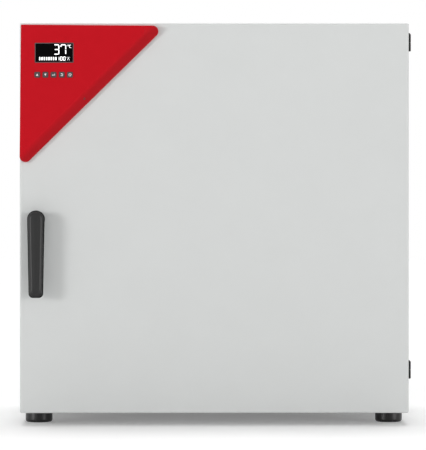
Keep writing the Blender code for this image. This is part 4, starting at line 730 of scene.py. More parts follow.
def chamber_heights() -> Flat:
    """Heights of the chamber's floor and of its ceiling."""
    return (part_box("chamber_floor")[1][2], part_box("chamber_ceiling")[0][2])


def eased(share: float) -> float:
    """Share of a soft S-shaped slope, level at both ends."""
    return share * share * (3 - 2 * share)


def modify(piece: Piece, kind: str, **settings: object) -> None:
    """Add a modifier and apply it.

    Args:
        piece: The piece.
        kind: The modifier's type.
        **settings: Its properties.
    """
    pick(piece)
    step = piece.modifiers.new(kind.title(), kind)
    for key, value in settings.items():
        setattr(step, key, value)
    bpy.ops.object.modifier_apply(modifier=step.name)


def carve(piece: Piece, cutter: Piece) -> None:
    """Cut one mesh out of another and remove the cutter."""
    modify(piece, "BOOLEAN", operation="DIFFERENCE", solver="EXACT", object=cutter)
    bpy.data.objects.remove(cutter, do_unlink=True)


def joined(name: str, pieces: Iterable[Piece]) -> Piece:
    """Join several meshes into one object.

    Args:
        name: The new piece's name.
        pieces: The meshes; the first one takes in the others.

    Returns:
        The joined object.
    """
    pieces = list(pieces)
    deselect_all()
    for piece in pieces:
        piece.select_set(True)
    bpy.context.view_layer.objects.active = pieces[0]
    bpy.ops.object.join()
    pieces[0].name = name
    return settle(pieces[0])


def duplicate(piece: Piece, name: str, shift: Point) -> Piece:
    """Copy a piece with its own mesh and move the copy.

    Args:
        piece: The piece to copy.
        name: The copy's name.
        shift: How far it moves.

    Returns:
        The settled copy.
    """
    pick(piece)
    bpy.ops.object.duplicate(linked=False)
    copy = bpy.context.object
    copy.name = name
    bpy.ops.transform.translate(value=shift)
    return settle(copy)


def skin(name: str, loops: Sequence[Sequence[Point]], ring: bool = False) -> Piece:
    """Make a mesh through a row of loops, for shapes that no primitive leads to.

    Args:
        name: The piece's name.
        loops: Loops of equally many points.
        ring: Join the last loop to the first in place of closing both with a face.

    Returns:
        The object.
    """
    shape = bmesh.new()
    rows = [[shape.verts.new(point) for point in loop] for loop in loops]
    pairs = list(zip(rows, rows[1:])) + ([(rows[-1], rows[0])] if ring else [])
    for row, following in pairs:
        for i in range(len(row)):
            j = (i + 1) % len(row)
            shape.faces.new((row[i], row[j], following[j], following[i]))
    if not ring:
        shape.faces.new(rows[0])
        shape.faces.new(rows[-1])
    bmesh.ops.recalc_face_normals(shape, faces=shape.faces)
    mesh = bpy.data.meshes.new(name)
    shape.to_mesh(mesh)
    shape.free()
    piece = bpy.data.objects.new(name, mesh)
    bpy.context.collection.objects.link(piece)
    return piece


def refined(node: str, name: str, edge: float) -> Piece:
    """Copy a CAD piece, merge its doubles and round its sharp edges.

    Args:
        node: The CAD node.
        name: The new piece's name.
        edge: Radius of the rounded edges.

    Returns:
        The new object, in place.
    """
    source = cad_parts[node]
    mesh = bpy.data.meshes.new_from_object(source)
    mesh.transform(source.matrix_world)
    piece = bpy.data.objects.new(name, mesh)
    bpy.context.collection.objects.link(piece)
    with Edit(piece):
        bpy.ops.mesh.select_all(action="SELECT")
        bpy.ops.mesh.remove_doubles(threshold=1e-6)
        bpy.ops.mesh.dissolve_limited(angle_limit=math.radians(1.0))
    limit = {"limit_method": "ANGLE", "angle_limit": math.radians(40.0), "use_clamp_overlap": True}
    modify(piece, "BEVEL", width=edge, segments=2, **limit)
    return piece


def dress(
    piece: Piece,
    finish: Finish,
    body: str,
    replaced: Sequence[str] = (),
    angle: float = 32.0,
) -> None:
    """Smooth a piece, give it its finish and tell the frame what it rides on.

    Args:
        piece: The piece, in place.
        finish: Its finish.
        body: The CAD body it moves with.
        replaced: CAD nodes it stands for.
        angle: Edges sharper than this stay sharp, in degrees.
    """
    pick(piece)
    bpy.ops.object.shade_smooth_by_angle(angle=math.radians(angle))
    modify(piece, "WEIGHTED_NORMAL", keep_sharp=True)
    piece.data.materials.clear()
    piece.data.materials.append(finish.material())
    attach(piece, body)
    if replaced:
        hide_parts(*replaced)
    LOG.info("%s: %d faces, %s, on %s", piece.name, len(piece.data.polygons), finish.name, body)


def rounded_outline(corners: Sequence[Flat], radii: Sequence[float], steps: int) -> list[Flat]:
    """Round the corners of a polygon.

    Args:
        corners: Its corners in order.
        radii: One radius for each corner.
        steps: Straight steps in each arc.

    Returns:
        The points of the rounded outline.
    """
    points: list[Flat] = []
    for i, (corner, radius) in enumerate(zip(corners, radii)):
        here = Vector(corner)
        before = (Vector(corners[i - 1]) - here).normalized()
        after = (Vector(corners[(i + 1) % len(corners)]) - here).normalized()
        half_angle = before.angle(after) / 2
        start = here + before * (radius / math.tan(half_angle))
        middle = here + (before + after).normalized() * (radius / math.sin(half_angle))
        end = here + after * (radius / math.tan(half_angle))
        sweep = (start - middle).angle_signed(end - middle)
        for k in range(steps + 1):
            arm = (start - middle).copy()
            arm.rotate(Matrix.Rotation(-sweep * k / steps, 2))
            points.append((middle.x + arm.x, middle.y + arm.y))
    return points


def inset_corners(corners: Sequence[Flat], insets: Sequence[float]) -> list[Flat]:
    """Move each side of a convex polygon inwards by its own distance.

    Args:
        corners: Its corners in order.
        insets: One distance for the side that follows each corner.

    Returns:
        The corners of the smaller polygon.
    """
    middle = sum((Vector(c) for c in corners), Vector((0.0, 0.0))) / len(corners)
    lines = []
    for i, corner in enumerate(corners):
        here = Vector(corner)
        run = (Vector(corners[(i + 1) % len(corners)]) - here).normalized()
        inwards = Vector((-run.y, run.x))
        if inwards.dot(middle - here) < 0:
            inwards.negate()
        lines.append((here + inwards * insets[i], run))
    moved = []
    for i, (point, run) in enumerate(lines):
        other, direction = lines[i - 1]
        across = direction.x * run.y - direction.y * run.x
        offset = point - other
        share = (offset.x * run.y - offset.y * run.x) / across
        spot = other + direction * share
        moved.append((spot.x, spot.y))
    return moved


def rectangle_loop(middle: Flat, half: Flat, radius: float, y: float, steps: int = 6) -> list[Point]:
    """A rounded rectangle in a plane across Y.

    Args:
        middle: Its middle, X and Z.
        half: Half its width and half its height.
        radius: Corner radius.
        y: Where the plane lies.
        steps: Straight steps in each corner.

    Returns:
        The points of the loop.
    """
    x, z = middle
    w, h = half
    corners = [(x - w, z - h), (x + w, z - h), (x + w, z + h), (x - w, z + h)]
    return [(px, y, pz) for px, pz in rounded_outline(corners, [radius] * 4, steps)]


def inset_loops(node: str, rows: Iterable[Point], steps: int = 6) -> list[list[Point]]:
    """Rounded rectangles inside a CAD piece's outline.

    Args:
        node: The CAD piece.
        rows: Each loop's inset, its depth and its corner radius.
        steps: Straight steps in each corner.

    Returns:
        The loops.
    """
    middle, (w, h) = middle_of(node), half_of(node)
    return [rectangle_loop(middle, (w - inset, h - inset), r, y, steps) for inset, y, r in rows]


def quarter(width: float, depth: float, steps: int) -> list[Flat]:
    """Quarter ellipse as pairs of inset and drop, from (0, depth) to (width, 0)."""
    angles = [math.pi / 2 * i / steps for i in range(steps + 1)]
    return [(width * (1 - math.cos(a)), depth * (1 - math.sin(a))) for a in angles]


def border_places(
    node: str,
    inset: float,
    across: Sequence[float],
    upwards: Sequence[float],
    from_top: bool = False,
) -> list[Point]:
    """Places round the border of a sheet's back.

    Args:
        node: The CAD sheet.
        inset: How far in from its edges they lie.
        across: Shares of the way along the lower and the upper edge.
        upwards: Shares of the way up the two sides.
        from_top: Whether the upper edge comes before the lower one.

    Returns:
        The places.
    """
    low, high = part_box(node)
    x0, x1 = low[0] + inset, high[0] - inset
    z0, z1 = low[2] + inset, high[2] - inset
    levels = (z1, z0) if from_top else (z0, z1)
    places = [(x0 + (x1 - x0) * share, high[1], z) for share in across for z in levels]
    return places + [(x, high[1], z0 + (z1 - z0) * share) for share in upwards for x in (x0, x1)]


@dataclass
class ScrewRow:
    """Pan-head screws of one size, modelled once and copied."""

    name: str
    radius: float = 0.0038
    height: float = 0.0020
    recess: float = 0.0011
    slot: float = 0.0016
    dish: float = 0.0001

    def build(self, places: Sequence[Point], towards: Facing, body: str) -> None:
        """Set screws on a face across Y.

        Args:
            places: Middles of the heads on the face.
            towards: Where that face looks.
            body: The CAD body they move with.
        """
        outwards = towards.value
        x, y, z = places[0]
        start = y if outwards > 0 else y - self.height
        head = new_drum(f"{self.name}_1", self.radius, (x, start, z), Axis.Y, self.height, 24)
        face = y + outwards * self.height
        with Edit(head) as edit:
            edit.edges(at_level(Axis.Y, face)).bevel(self.height * 0.55, 3)
            edit.faces(facing((0.0, outwards, 0.0))).inset(self.radius * 0.15)
            edit.extrude((0.0, -outwards * self.dish, 0.0))
        for turn in (0, 1):
            size = (self.slot * 1.4, self.slot * 0.28)[:: -1 if turn else 1]
            low = (x - size[0], face - self.recess, z - size[1])
            high = (x + size[0], face + self.recess, z + size[1])
            carve(head, new_block("screw_cross", low, high))
        heads = [head]
        for index, place in enumerate(places[1:], 2):
            shift = tuple(b - a for a, b in zip(places[0], place))
            heads.append(duplicate(head, f"{self.name}_{index}", shift))
        dress(joined(self.name, heads), ZINC_SCREW, body)


@dataclass
class Door:
    """Outer door: painted pan, liner with its screws, and seal."""

    edge_radius: float = 0.0035
    corner_radius: float = 0.003
    fold_radius: float = 0.0015
    return_width: float = 0.052
    sheet: float = 0.0012
    handle_hole: float = 0.0093
    liner_sheet: float = 0.0010
    dish_border: float = 0.095
    dish_slope: float = 0.012
    dish_depth: float = 0.008
    liner_corner: float = 0.020
    dish_corner: float = 0.008
    liner_edge: float = 0.0003
    seal_width: float = 0.016
    seal_corner: float = 0.024
    screw_inset: float = 0.0070
    latch_edge: float = 0.0003
    low: Vector = field(default_factory=lambda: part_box("door_outer_pan")[0])
    high: Vector = field(default_factory=lambda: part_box("door_outer_pan")[1])

    def build(self) -> None:
        """Build and dress every piece of the door."""
        self.build_pan()
        self.build_liner()
        self.build_seal()
        self.build_liner_screws()
        for node, body in (("latch_cam", "handle"), ("latch_keeper", "cabinet")):
            dress(refined(node, f"{node}_plate", self.latch_edge), TURNED_STEEL, body, [node])

    def build_pan(self) -> None:
        """Pan folded from one sheet: rounded front edges and a return flange behind."""
        pan = new_block("door_pan_painted", self.low, self.high)
        front, back = self.low[1], self.high[1]
        middle = (self.low + self.high) / 2
        half = (self.high - self.low) / 2

        def outer(point: Vector) -> bool:
            """Whether a point lies on the pan's outside."""
            return any(near(abs(point[i] - middle[i]), half[i], 1e-4) for i in (0, 2))

        with Edit(pan) as edit:
            edit.faces(facing((0.0, 1.0, 0.0))).inset(self.return_width)
            edit.extrude((0.0, -self.sheet, 0.0)).extrude((0.0, 0.0, 0.0))
            wider = [(half[i] - self.sheet) / (half[i] - self.return_width) for i in (0, 2)]
            edit.resize((wider[0], 1.0, wider[1]), middle)
            edit.extrude((0.0, front - back + 2 * self.sheet, 0.0))
            edit.edges(lambda a, b: along(Axis.Y)(a, b) and outer(a))
            edit.bevel(self.corner_radius, 6)
            edit.edges(at_level(Axis.Y, front)).bevel(self.edge_radius, 8)
            edit.edges(lambda a, b: at_level(Axis.Y, back)(a, b) and self.on_rim(a, b, outer))
            edit.bevel(self.fold_radius, 4)
        x, z = middle_of("handle_bush")
        hole = new_drum("handle_hole", self.handle_hole, (x, front - 0.001, z), Axis.Y, 0.004)
        carve(pan, hole)
        dress(pan, DOOR_PAINT, "door", ["door_outer_pan"])

    @staticmethod
    def on_rim(a: Vector, b: Vector, outer: Callable[[Vector], bool]) -> bool:
        """Whether an edge of the back runs round the pan's outside, corners too."""
        return (outer(a) and outer(b)) or (a - b).length < 0.002

    def build_liner(self) -> None:
        """Stainless liner pressed from one sheet, its middle dished with soft slopes."""
        edge = (self.high[0] - self.low[0]) / 2 - half_of("door_liner")[0]
        back, sheet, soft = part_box("door_liner")[1][1], self.liner_sheet, self.liner_edge
        rim = [(soft, back - sheet), (0.0, back - sheet / 2), (soft, back)]
        steps = 12
        slope = []
        for k in range(steps + 1):
            start = self.dish_border - edge + self.dish_slope * k / steps
            slope.append((start, eased(k / steps) * self.dish_depth))
        front_rows = [(inset, back - sheet - fall) for inset, fall in slope]
        back_rows = [(inset + sheet * 0.6, back - fall) for inset, fall in slope]
        rows = []
        for inset, y in front_rows[::-1] + rim + back_rows:
            rows.append((inset, y, max(self.liner_corner - inset * 0.1, self.dish_corner)))
        liner = skin("door_liner_pressed", inset_loops("door_liner", rows, 8))
        dress(liner, LINER_STEEL, "door", ["door_liner"])

    def build_seal(self) -> None:
        """Hollow-bulb silicone seal with a lip on each side."""
        low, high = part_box("door_seal")
        start, depth, width = low[1], high[1] - low[1], self.seal_width
        profile = [(0.0, 0.0), (0.0, 0.32), (0.05, 0.42), (0.13, 0.36), (0.2, 0.45)]
        profile += [(0.28, 0.82), (0.38, 0.97), (0.5, 1.0)]
        profile += [(1 - a, b) for a, b in profile[:-1]][::-1]
        rows = [(a * width, start + b * depth, self.seal_corner - a * width) for a, b in profile]
        seal = skin("door_seal_silicone", inset_loops("door_seal", rows, 8), ring=True)
        dress(seal, SEAL_SILICONE, "door", ["door_seal"])

    def build_liner_screws(self) -> None:
        """Screws that hold the liner to the pan's return flange."""
        shares = ((0.02, 0.34, 0.66, 0.98), (0.25, 0.75))
        places = border_places("door_liner", self.screw_inset, *shares)
        ScrewRow("door_liner_screws", 0.0030, 0.0014, 0.0008).build(places, Facing.BACK, "door")


class KeyMark(Enum):
    """The mark printed on a key."""

    UP = "key_up"
    DOWN = "key_down"
    ENTER = "key_enter"
    BACK = "key_back"
    POWER = "key_power"


@dataclass
class KeyPrint:
    """Flat shapes of the keys' marks, made round the origin at the level of a key's face."""

    level: float
    depth: float = 0.00012
    half_line: float = 0.00045
    arc_steps: int = 20

    def triangle(self, radius: float, place: Flat, turn: float) -> Piece:
        """Solid triangle.

        Args:
            radius: How far its corners lie from its middle.
            place: Its middle.
            turn: How far it is turned from pointing up, in degrees.

        Returns:
            The settled piece.
        """
        deselect_all()
        bpy.ops.mesh.primitive_cylinder_add(vertices=3, radius=radius, depth=2 * self.depth)
        shape = bpy.context.object
        shape.matrix_world = (
            Matrix.Translation((place[0], self.level, place[1]))
            @ Matrix.Rotation(math.radians(turn), 4, "Y")
            @ Matrix.Rotation(math.radians(90.0), 4, "X")
        )
        return settle(shape)

    def bar(self, low: Flat, high: Flat) -> Piece:
        """Upright rectangle between two corners."""
        near_y, far_y = self.level - self.depth, self.level + self.depth
        return new_block("mark_bar", (low[0], near_y, low[1]), (high[0], far_y, high[1]))

    def arc(self, radius: float, start: float, end: float) -> Piece:
        """Open arc round the origin.

        Args:
            radius: Radius of its middle line.
            start: Angle of its first end, in degrees.
            end: Angle of its last end, in degrees.

        Returns:
            The piece.
        """
        w, d = self.half_line, self.depth
        loops = []
        for k in range(self.arc_steps + 1):
            angle = math.radians(start + (end - start) * k / self.arc_steps)
            c, s = math.cos(angle), math.sin(angle)
            loop = []
            for r, y in ((-w, -d), (w, -d), (w, d), (-w, d)):
                loop.append(((radius + r) * c, self.level + y, (radius + r) * s))
            loops.append(loop)
        return skin("mark_arc", loops)

    def strokes(self, mark: KeyMark) -> list[Piece]:
        """All shapes of one mark.

        Args:
            mark: Which mark.

        Returns:
            The shapes.
        """
        if mark is KeyMark.UP:
            return [self.triangle(0.0026, (0.0, -0.0006), 0.0)]
        if mark is KeyMark.DOWN:
            return [self.triangle(0.0026, (0.0, 0.0006), 180.0)]
        if mark is KeyMark.ENTER:
            shapes = [self.bar((-0.0011, -0.0011), (0.0024, -0.0003))]
            shapes.append(self.bar((0.0016, -0.0003), (0.0024, 0.0020)))
            shapes.append(self.triangle(0.0014, (-0.0018, -0.0007), -90.0))
            return shapes
        if mark is KeyMark.BACK:
            shapes = [self.arc(0.0019, -150.0, 90.0)]
            shapes.append(self.triangle(0.0014, (-0.0007, 0.0019), -90.0))
            return shapes
        shapes = [self.arc(0.0022, -240.0, 60.0)]
        shapes.append(self.bar((-self.half_line, 0.0002), (self.half_line, 0.0028)))
        return shapes


@dataclass
class ControlPanel:
    """Wedge-shaped red cover in the door's upper left corner, with its display and keys."""

    door: Door
    leg: float = 0.2643
    left_inset: float = 0.0026
    top_inset: float = 0.0037
    turn: float = 0.50
    tip_radius: float = 0.010
    corner_radius: float = 0.002
    thin: float = 0.0105
    proud: float = 0.018
    roll_width: float = 0.021
    roll_bend: float = 0.005
    roll_slope: float = 0.70
    edge_round: float = 0.0015
    display_left: float = 0.028
    display_drop: float = 0.037
    display_size: Flat = (0.0705, 0.0362)
    display_corner: float = 0.001
    display_sunk: float = 0.0003
    border: float = 0.0013
    border_span: Flat = (0.0001, 0.0012)
    lit_span: Flat = (0.00012, 0.0006)
    clearance: float = 0.0006
    key_left: float = 0.0325
    key_drop: float = 0.0952
    key_pitch: float = 0.0149
    key_width: float = 0.0102
    key_corner: float = 0.0022
    key_proud: float = 0.0009
    key_edge: float = 0.0005
    key_border: float = 0.0012
    key_dish: float = 0.0001
    wall: float = 0.0025
    cavity_tip: float = 0.005
    port_radius: float = 0.0032
    port_depth: float = 0.0005
    port_inset: float = 0.0096
    port_place: Flat = (0.1183, 0.1387)
    arc_steps: int = 14

    def __post_init__(self) -> None:
        """Work out the slope of the face and the door's edges that the panel keeps to."""
        self.left = self.door.low[0]
        self.front = self.door.low[1]
        self.top = self.door.high[2]
        to_edge = self.leg / math.sqrt(2) - self.roll_width
        self.slope = (self.proud - self.thin) / to_edge / math.sqrt(2)

    def build(self) -> None:
        """Build and dress every piece of the panel."""
        self.build_cover()
        self.build_display()
        for index, mark in enumerate(KeyMark):
            self.build_key(mark, self.left + self.key_left + index * self.key_pitch)
        self.build_port_mark()

    def face(self, x: float, z: float) -> float:
        """Depth of the sloping face at a place, as Y."""
        rise = self.slope * ((x - self.left) + (self.top - z))
        return self.front - self.thin - rise

    def corners(self) -> list[Flat]:
        """Upper left, lower left and upper right corner, seen from the front.

        Returns:
            The three corners.
        """
        left, top = self.left + self.left_inset, self.top - self.top_inset
        lean = self.leg * math.sin(math.radians(self.turn))
        reach = self.leg * math.cos(math.radians(self.turn))
        return [(left, top), (left - lean, top - reach), (left + reach, top - lean)]

    def loop(self, insets: Sequence[float], drops: Sequence[float], radius: float) -> list[Point]:
        """One loop of the cover on or below its sloping face.

        Args:
            insets: How far in each of the three sides lies.
            drops: How far below the face each side lies.
            radius: Radius of the two tips.

        Returns:
            The points of the loop.
        """
        corners = inset_corners(self.corners(), insets)
        radii = [max(self.corner_radius - insets[0], 0.0006), radius, radius]
        points = []
        for index, (x, z) in enumerate(rounded_outline(corners, radii, self.arc_steps)):
            corner, step = divmod(index, self.arc_steps + 1)
            share = eased(step / self.arc_steps)
            sunk = drops[corner - 1] * (1 - share) + drops[corner] * share
            points.append((x, min(self.face(x, z) + sunk, self.front), z))
        return points

    def put(self, piece: Piece, x: float, z: float, sunk: float = 0.0, tilt: float = 0.0) -> Piece:
        """Place a piece made round the origin, facing -Y, onto the face or the long roll.

        Args:
            piece: The piece.
            x: Where its middle goes.
            z: Where its middle goes.
            sunk: How far below the face.
            tilt: How far it leans towards the lower right, in degrees.

        Returns:
            The settled piece.
        """
        outwards = Vector((-self.slope, -1.0, self.slope)).normalized()
        downhill = Vector((1.0, 0.0, -1.0)).normalized()
        angle = math.radians(tilt)
        inwards = -(outwards * math.cos(angle) + downhill * math.sin(angle)).normalized()
        run = (Vector((1.0, 0.0, 0.0)) - inwards * inwards.x).normalized()
        turn = Matrix((run, inwards, run.cross(inwards))).transposed()
        spot = (x, self.face(x, z) + sunk, z)
        piece.matrix_world = Matrix.Translation(spot) @ turn.to_4x4() @ piece.matrix_world
        return settle(piece)

    def pad(
        self, name: str, size: Flat, near_y: float, far_y: float, radius: float, segments: int = 5
    ) -> Piece:
        """Rounded rectangular pad round the origin, facing -Y.

        Args:
            name: Its name.
            size: Width and height.
            near_y: Depth of its front.
            far_y: Depth of its back.
            radius: Corner radius.
            segments: Steps in each corner.

        Returns:
            The object.
        """
        w, h = size[0] / 2, size[1] / 2
        pad = new_block(name, (-w, near_y, -h), (w, far_y, h))
        with Edit(pad) as edit:
            edit.edges(along(Axis.Y)).bevel(radius, segments)
        return pad

    def display_place(self) -> Flat:
        """Middle of the display, X and Z."""
        w, h = self.display_size
        return (self.left + self.display_left + w / 2, self.top - self.display_drop - h / 2)

    def build_cover(self) -> None:
        """Cover: sloping face, long rolled edge, rounded tips, openings for display and keys."""
        loops = []
        steps = 12
        long_edge = self.roll_profile(steps)
        side_edge = quarter(self.edge_round, self.edge_round, steps)
        for (long_in, long_drop), (side_in, side_drop) in zip(long_edge, side_edge):
            insets = [side_in, long_in, side_in]
            drops = [side_drop, long_drop, side_drop]
            loops.append(self.loop(insets, drops, self.tip_radius - side_in))
        radii = [self.corner_radius, self.tip_radius, self.tip_radius]
        outline = rounded_outline(self.corners(), radii, self.arc_steps)
        base = [(x, self.front, z) for x, z in outline]
        cover = skin("panel_cover_red", loops[::-1] + [base])
        carve(cover, self.cavity())
        x, z = self.display_place()
        gap, depth = self.clearance, self.wall * 2
        size = (self.display_size[0] + gap, self.display_size[1] + gap)
        radius = self.display_corner + gap / 2
        carve(cover, self.put(self.pad("display_opening", size, -depth, depth, radius), x, z))
        for index in range(len(KeyMark)):
            x = self.left + self.key_left + index * self.key_pitch
            width = self.key_width + gap
            hole = self.pad("key_opening", (width, width), -depth, depth, self.key_corner)
            carve(cover, self.put(hole, x, self.top - self.key_drop))
        edge = self.corners()[2]
        # The red gets painted shade along the long rolled edge, which ends at this corner.
        finish = replace(PANEL_RED, shade_edge_end=edge[0] - edge[1])
        dress(cover, finish, "door", ["panel_cover"], angle=28.0)

    def roll_drop(self, inset: float) -> float:
        """How far the long edge's slope lies below the face.

        Args:
            inset: Distance from the edge.

        Returns:
            The drop.
        """
        start = self.roll_width - self.roll_bend
        if inset < start:
            return self.roll_slope * (start + self.roll_bend / 2 - inset)
        return self.roll_slope * (self.roll_width - inset) ** 2 / (2 * self.roll_bend)

    def roll_profile(self, steps: int) -> list[Flat]:
        """Long edge: a plane slope, then a soft bend into the face.

        Args:
            steps: Number of steps.

        Returns:
            Pairs of inset and drop.
        """
        start = self.roll_width - self.roll_bend
        insets = [0.0, start / 2]
        insets += [start + self.roll_bend * k / (steps - 2) for k in range(steps - 1)]
        return [(inset, self.roll_drop(inset)) for inset in insets]

    def cavity(self) -> Piece:
        """Cutter that hollows the cover to its wall.

        Returns:
            The cutter.
        """
        w = self.wall
        insets = [w, self.roll_width + 0.001, w]
        top = self.loop(insets, [w, w, w], self.cavity_tip)
        return skin("cover_cavity", [top, [(x, self.front + w, z) for x, _, z in top]])

    def build_display(self) -> None:
        """Black cover with a thin grey frame, lit digits and a row of level blocks."""
        x, z = self.display_place()
        size, sunk, corner = self.display_size, self.display_sunk, self.display_corner
        lens = self.pad("display_cover_black", size, sunk, self.wall, corner)
        soften(lens, Axis.Y, sunk, sunk, 2)
        dress(self.put(lens, x, z), DISPLAY_COVER, "door", ["display_window"])
        rim = self.pad("display_frame", size, *self.border_span, corner)
        inner = (size[0] - 2 * self.border, size[1] - 2 * self.border)
        carve(rim, self.pad("display_frame_inside", inner, -0.002, 0.004, 0.0006))
        dress(self.put(rim, x, z), DISPLAY_FRAME, "door")
        lit: list[Piece] = []
        lit += self.digit("abgcd", 0.0000, 0.0059)
        lit += self.digit("fabc", 0.0125, 0.0059)
        lit += self.degree_sign(0.0246, 0.0120)
        lit += self.level_blocks(-0.0262, -0.0107)
        lit += self.percentage(0.0090, -0.0107)
        segments = joined("display_digits", lit)
        dress(self.put(segments, x, z), DISPLAY_LIT, "door")

    def stroke(self, start: Flat, end: Flat, width: float) -> Piece:
        """One lit stroke, upright or level, between two places of the display.

        Args:
            start: Its first end.
            end: Its last end.
            width: How wide it is.

        Returns:
            The stroke.
        """
        a, b = Vector(start), Vector(end)
        run = (b - a).normalized() * (width / 2)
        low = Vector((min(a.x, b.x), min(a.y, b.y))) - Vector((abs(run.y), abs(run.x)))
        high = Vector((max(a.x, b.x), max(a.y, b.y))) + Vector((abs(run.y), abs(run.x)))
        near_y, far_y = self.lit_span
        bar = new_block("lit_stroke", (low.x, near_y, low.y), (high.x, far_y, high.y))
        with Edit(bar) as edit:
            edit.edges(along(Axis.Y)).bevel(width * 0.35, 2)
        return bar

    def digit(self, segments: str, left: float, middle: float) -> list[Piece]:
        """Seven-segment digit.

        Args:
            segments: Letters of the lit segments: a top, b and c right, d bottom, f left, g middle.
            left: Left edge from the display's middle.
            middle: Height of its middle from the display's middle.

        Returns:
            The strokes.
        """
        w, h, t = 0.0086, 0.0086, 0.0018
        gap = t * 0.30
        x0, x1 = left, left + w
        low, high = middle - h, middle + h
        ends = {
            "a": ((x0 + gap, high), (x1 - gap, high)),
            "b": ((x1, middle + gap), (x1, high - gap)),
            "c": ((x1, low + gap), (x1, middle - gap)),
            "d": ((x0 + gap, low), (x1 - gap, low)),
            "f": ((x0, middle + h * 0.55), (x0, high - gap)),
            "g": ((x0 + 2 * gap, middle), (x1 - gap, middle)),
        }
        return [self.stroke(*ends[letter], t) for letter in segments]

    def degree_sign(self, left: float, height: float) -> list[Piece]:
        """Small ring and a C for degrees Celsius.

        Args:
            left: Left edge from the display's middle.
            height: Height from the display's middle.

        Returns:
            The ring and the strokes.
        """
        deselect_all()
        bpy.ops.mesh.primitive_torus_add(
            major_radius=0.0011,
            minor_radius=0.00035,
            major_segments=16,
            minor_segments=6,
            location=(left + 0.0012, 0.0004, height + 0.0012),
            rotation=(math.pi / 2, 0.0, 0.0),
        )
        ring = settle(bpy.context.object)
        x0, x1 = left + 0.0034, left + 0.0062
        z0, z1 = height - 0.0028, height + 0.0020
        bars = [((x0, z1), (x1, z1)), ((x0, z0), (x0, z1)), ((x0, z0), (x1, z0))]
        return [ring] + [self.stroke(a, b, 0.0008) for a, b in bars]

    def level_blocks(self, left: float, height: float) -> list[Piece]:
        """Row of eight blocks that shows the fan's level.

        Args:
            left: Middle of the first block.
            height: Their middle.

        Returns:
            The blocks.
        """
        low, high, pitch = height - 0.0030, height + 0.0030, 0.0042
        places = [left + k * pitch for k in range(8)]
        return [self.stroke((x, low), (x, high), 0.0024) for x in places]

    def percentage(self, left: float, height: float) -> list[Piece]:
        """The fan's level in plain digits with a per cent sign.

        Args:
            left: Middle of the first stroke.
            height: Middle of the digits.

        Returns:
            The strokes.
        """
        w, h, t, half_dot = 0.0034, 0.0032, 0.0010, 0.0004
        low, high = height - h, height + h
        strokes = [self.stroke((left, low), (left, high), t)]
        for x0 in (left + 0.0024, left + 0.0078):
            x1 = x0 + w
            box = [((x0, low), (x0, high)), ((x1, low), (x1, high))]
            box += [((x0, low), (x1, low)), ((x0, high), (x1, high))]
            strokes += [self.stroke(a, b, t) for a, b in box]
        x = left + 0.0148
        for dx, dz in ((0.0, h * 0.70), (0.0040, -h * 0.70)):
            spot = (x + dx, height + dz)
            ends = ((spot[0] - half_dot, spot[1]), (spot[0] + half_dot, spot[1]))
            strokes.append(self.stroke(*ends, 0.0014))
        (near_y, far_y), tall = self.lit_span, h * 1.05
        slash = new_block("lit_slash", (-half_dot, near_y, -tall), (half_dot, far_y, tall))
        lean = Matrix.Rotation(math.radians(32.0), 4, "Y")
        slash.matrix_world = Matrix.Translation((x + 0.0020, 0.0, height)) @ lean
        return strokes + [settle(slash)]

    def build_key(self, mark: KeyMark, x: float) -> None:
        """One key cap, dished a little, with its printed mark.

        Args:
            mark: Which key it is.
            x: Its middle.
        """
        z, body = self.top - self.key_drop, f"{mark.value}_cap"
        size = (self.key_width, self.key_width)
        cap = self.pad(body, size, -self.key_proud, self.wall, self.key_corner, 6)
        with Edit(cap) as edit:
            edit.edges(at_level(Axis.Y, -self.key_proud)).bevel(self.key_edge, 4)
            edit.faces(facing((0.0, -1.0, 0.0))).inset(self.key_border)
            edit.extrude((0.0, self.key_dish, 0.0))
        dress(self.put(cap, x, z), KEY_GREY, body, [mark.value])
        strokes = KeyPrint(self.key_dish - self.key_proud).strokes(mark)
        sign = joined(f"{mark.value}_print", strokes)
        dress(self.put(sign, x, z), KEY_PRINT, body)

    def build_port_mark(self) -> None:
        """Small arrow on the long roll, at the panel's catch."""
        deselect_all()
        size = {"radius": self.port_radius, "depth": self.port_depth}
        bpy.ops.mesh.primitive_cylinder_add(vertices=3, rotation=(math.pi / 2, 0.0, 0.0), **size)
        mark = settle(bpy.context.object)
        mark.name = "port_mark"
        tilt = math.degrees(math.atan(self.roll_slope))
        x, z = self.left + self.port_place[0], self.top - self.port_place[1]
        dress(self.put(mark, x, z, self.roll_drop(self.port_inset), tilt), PORT_PRINT, "door")


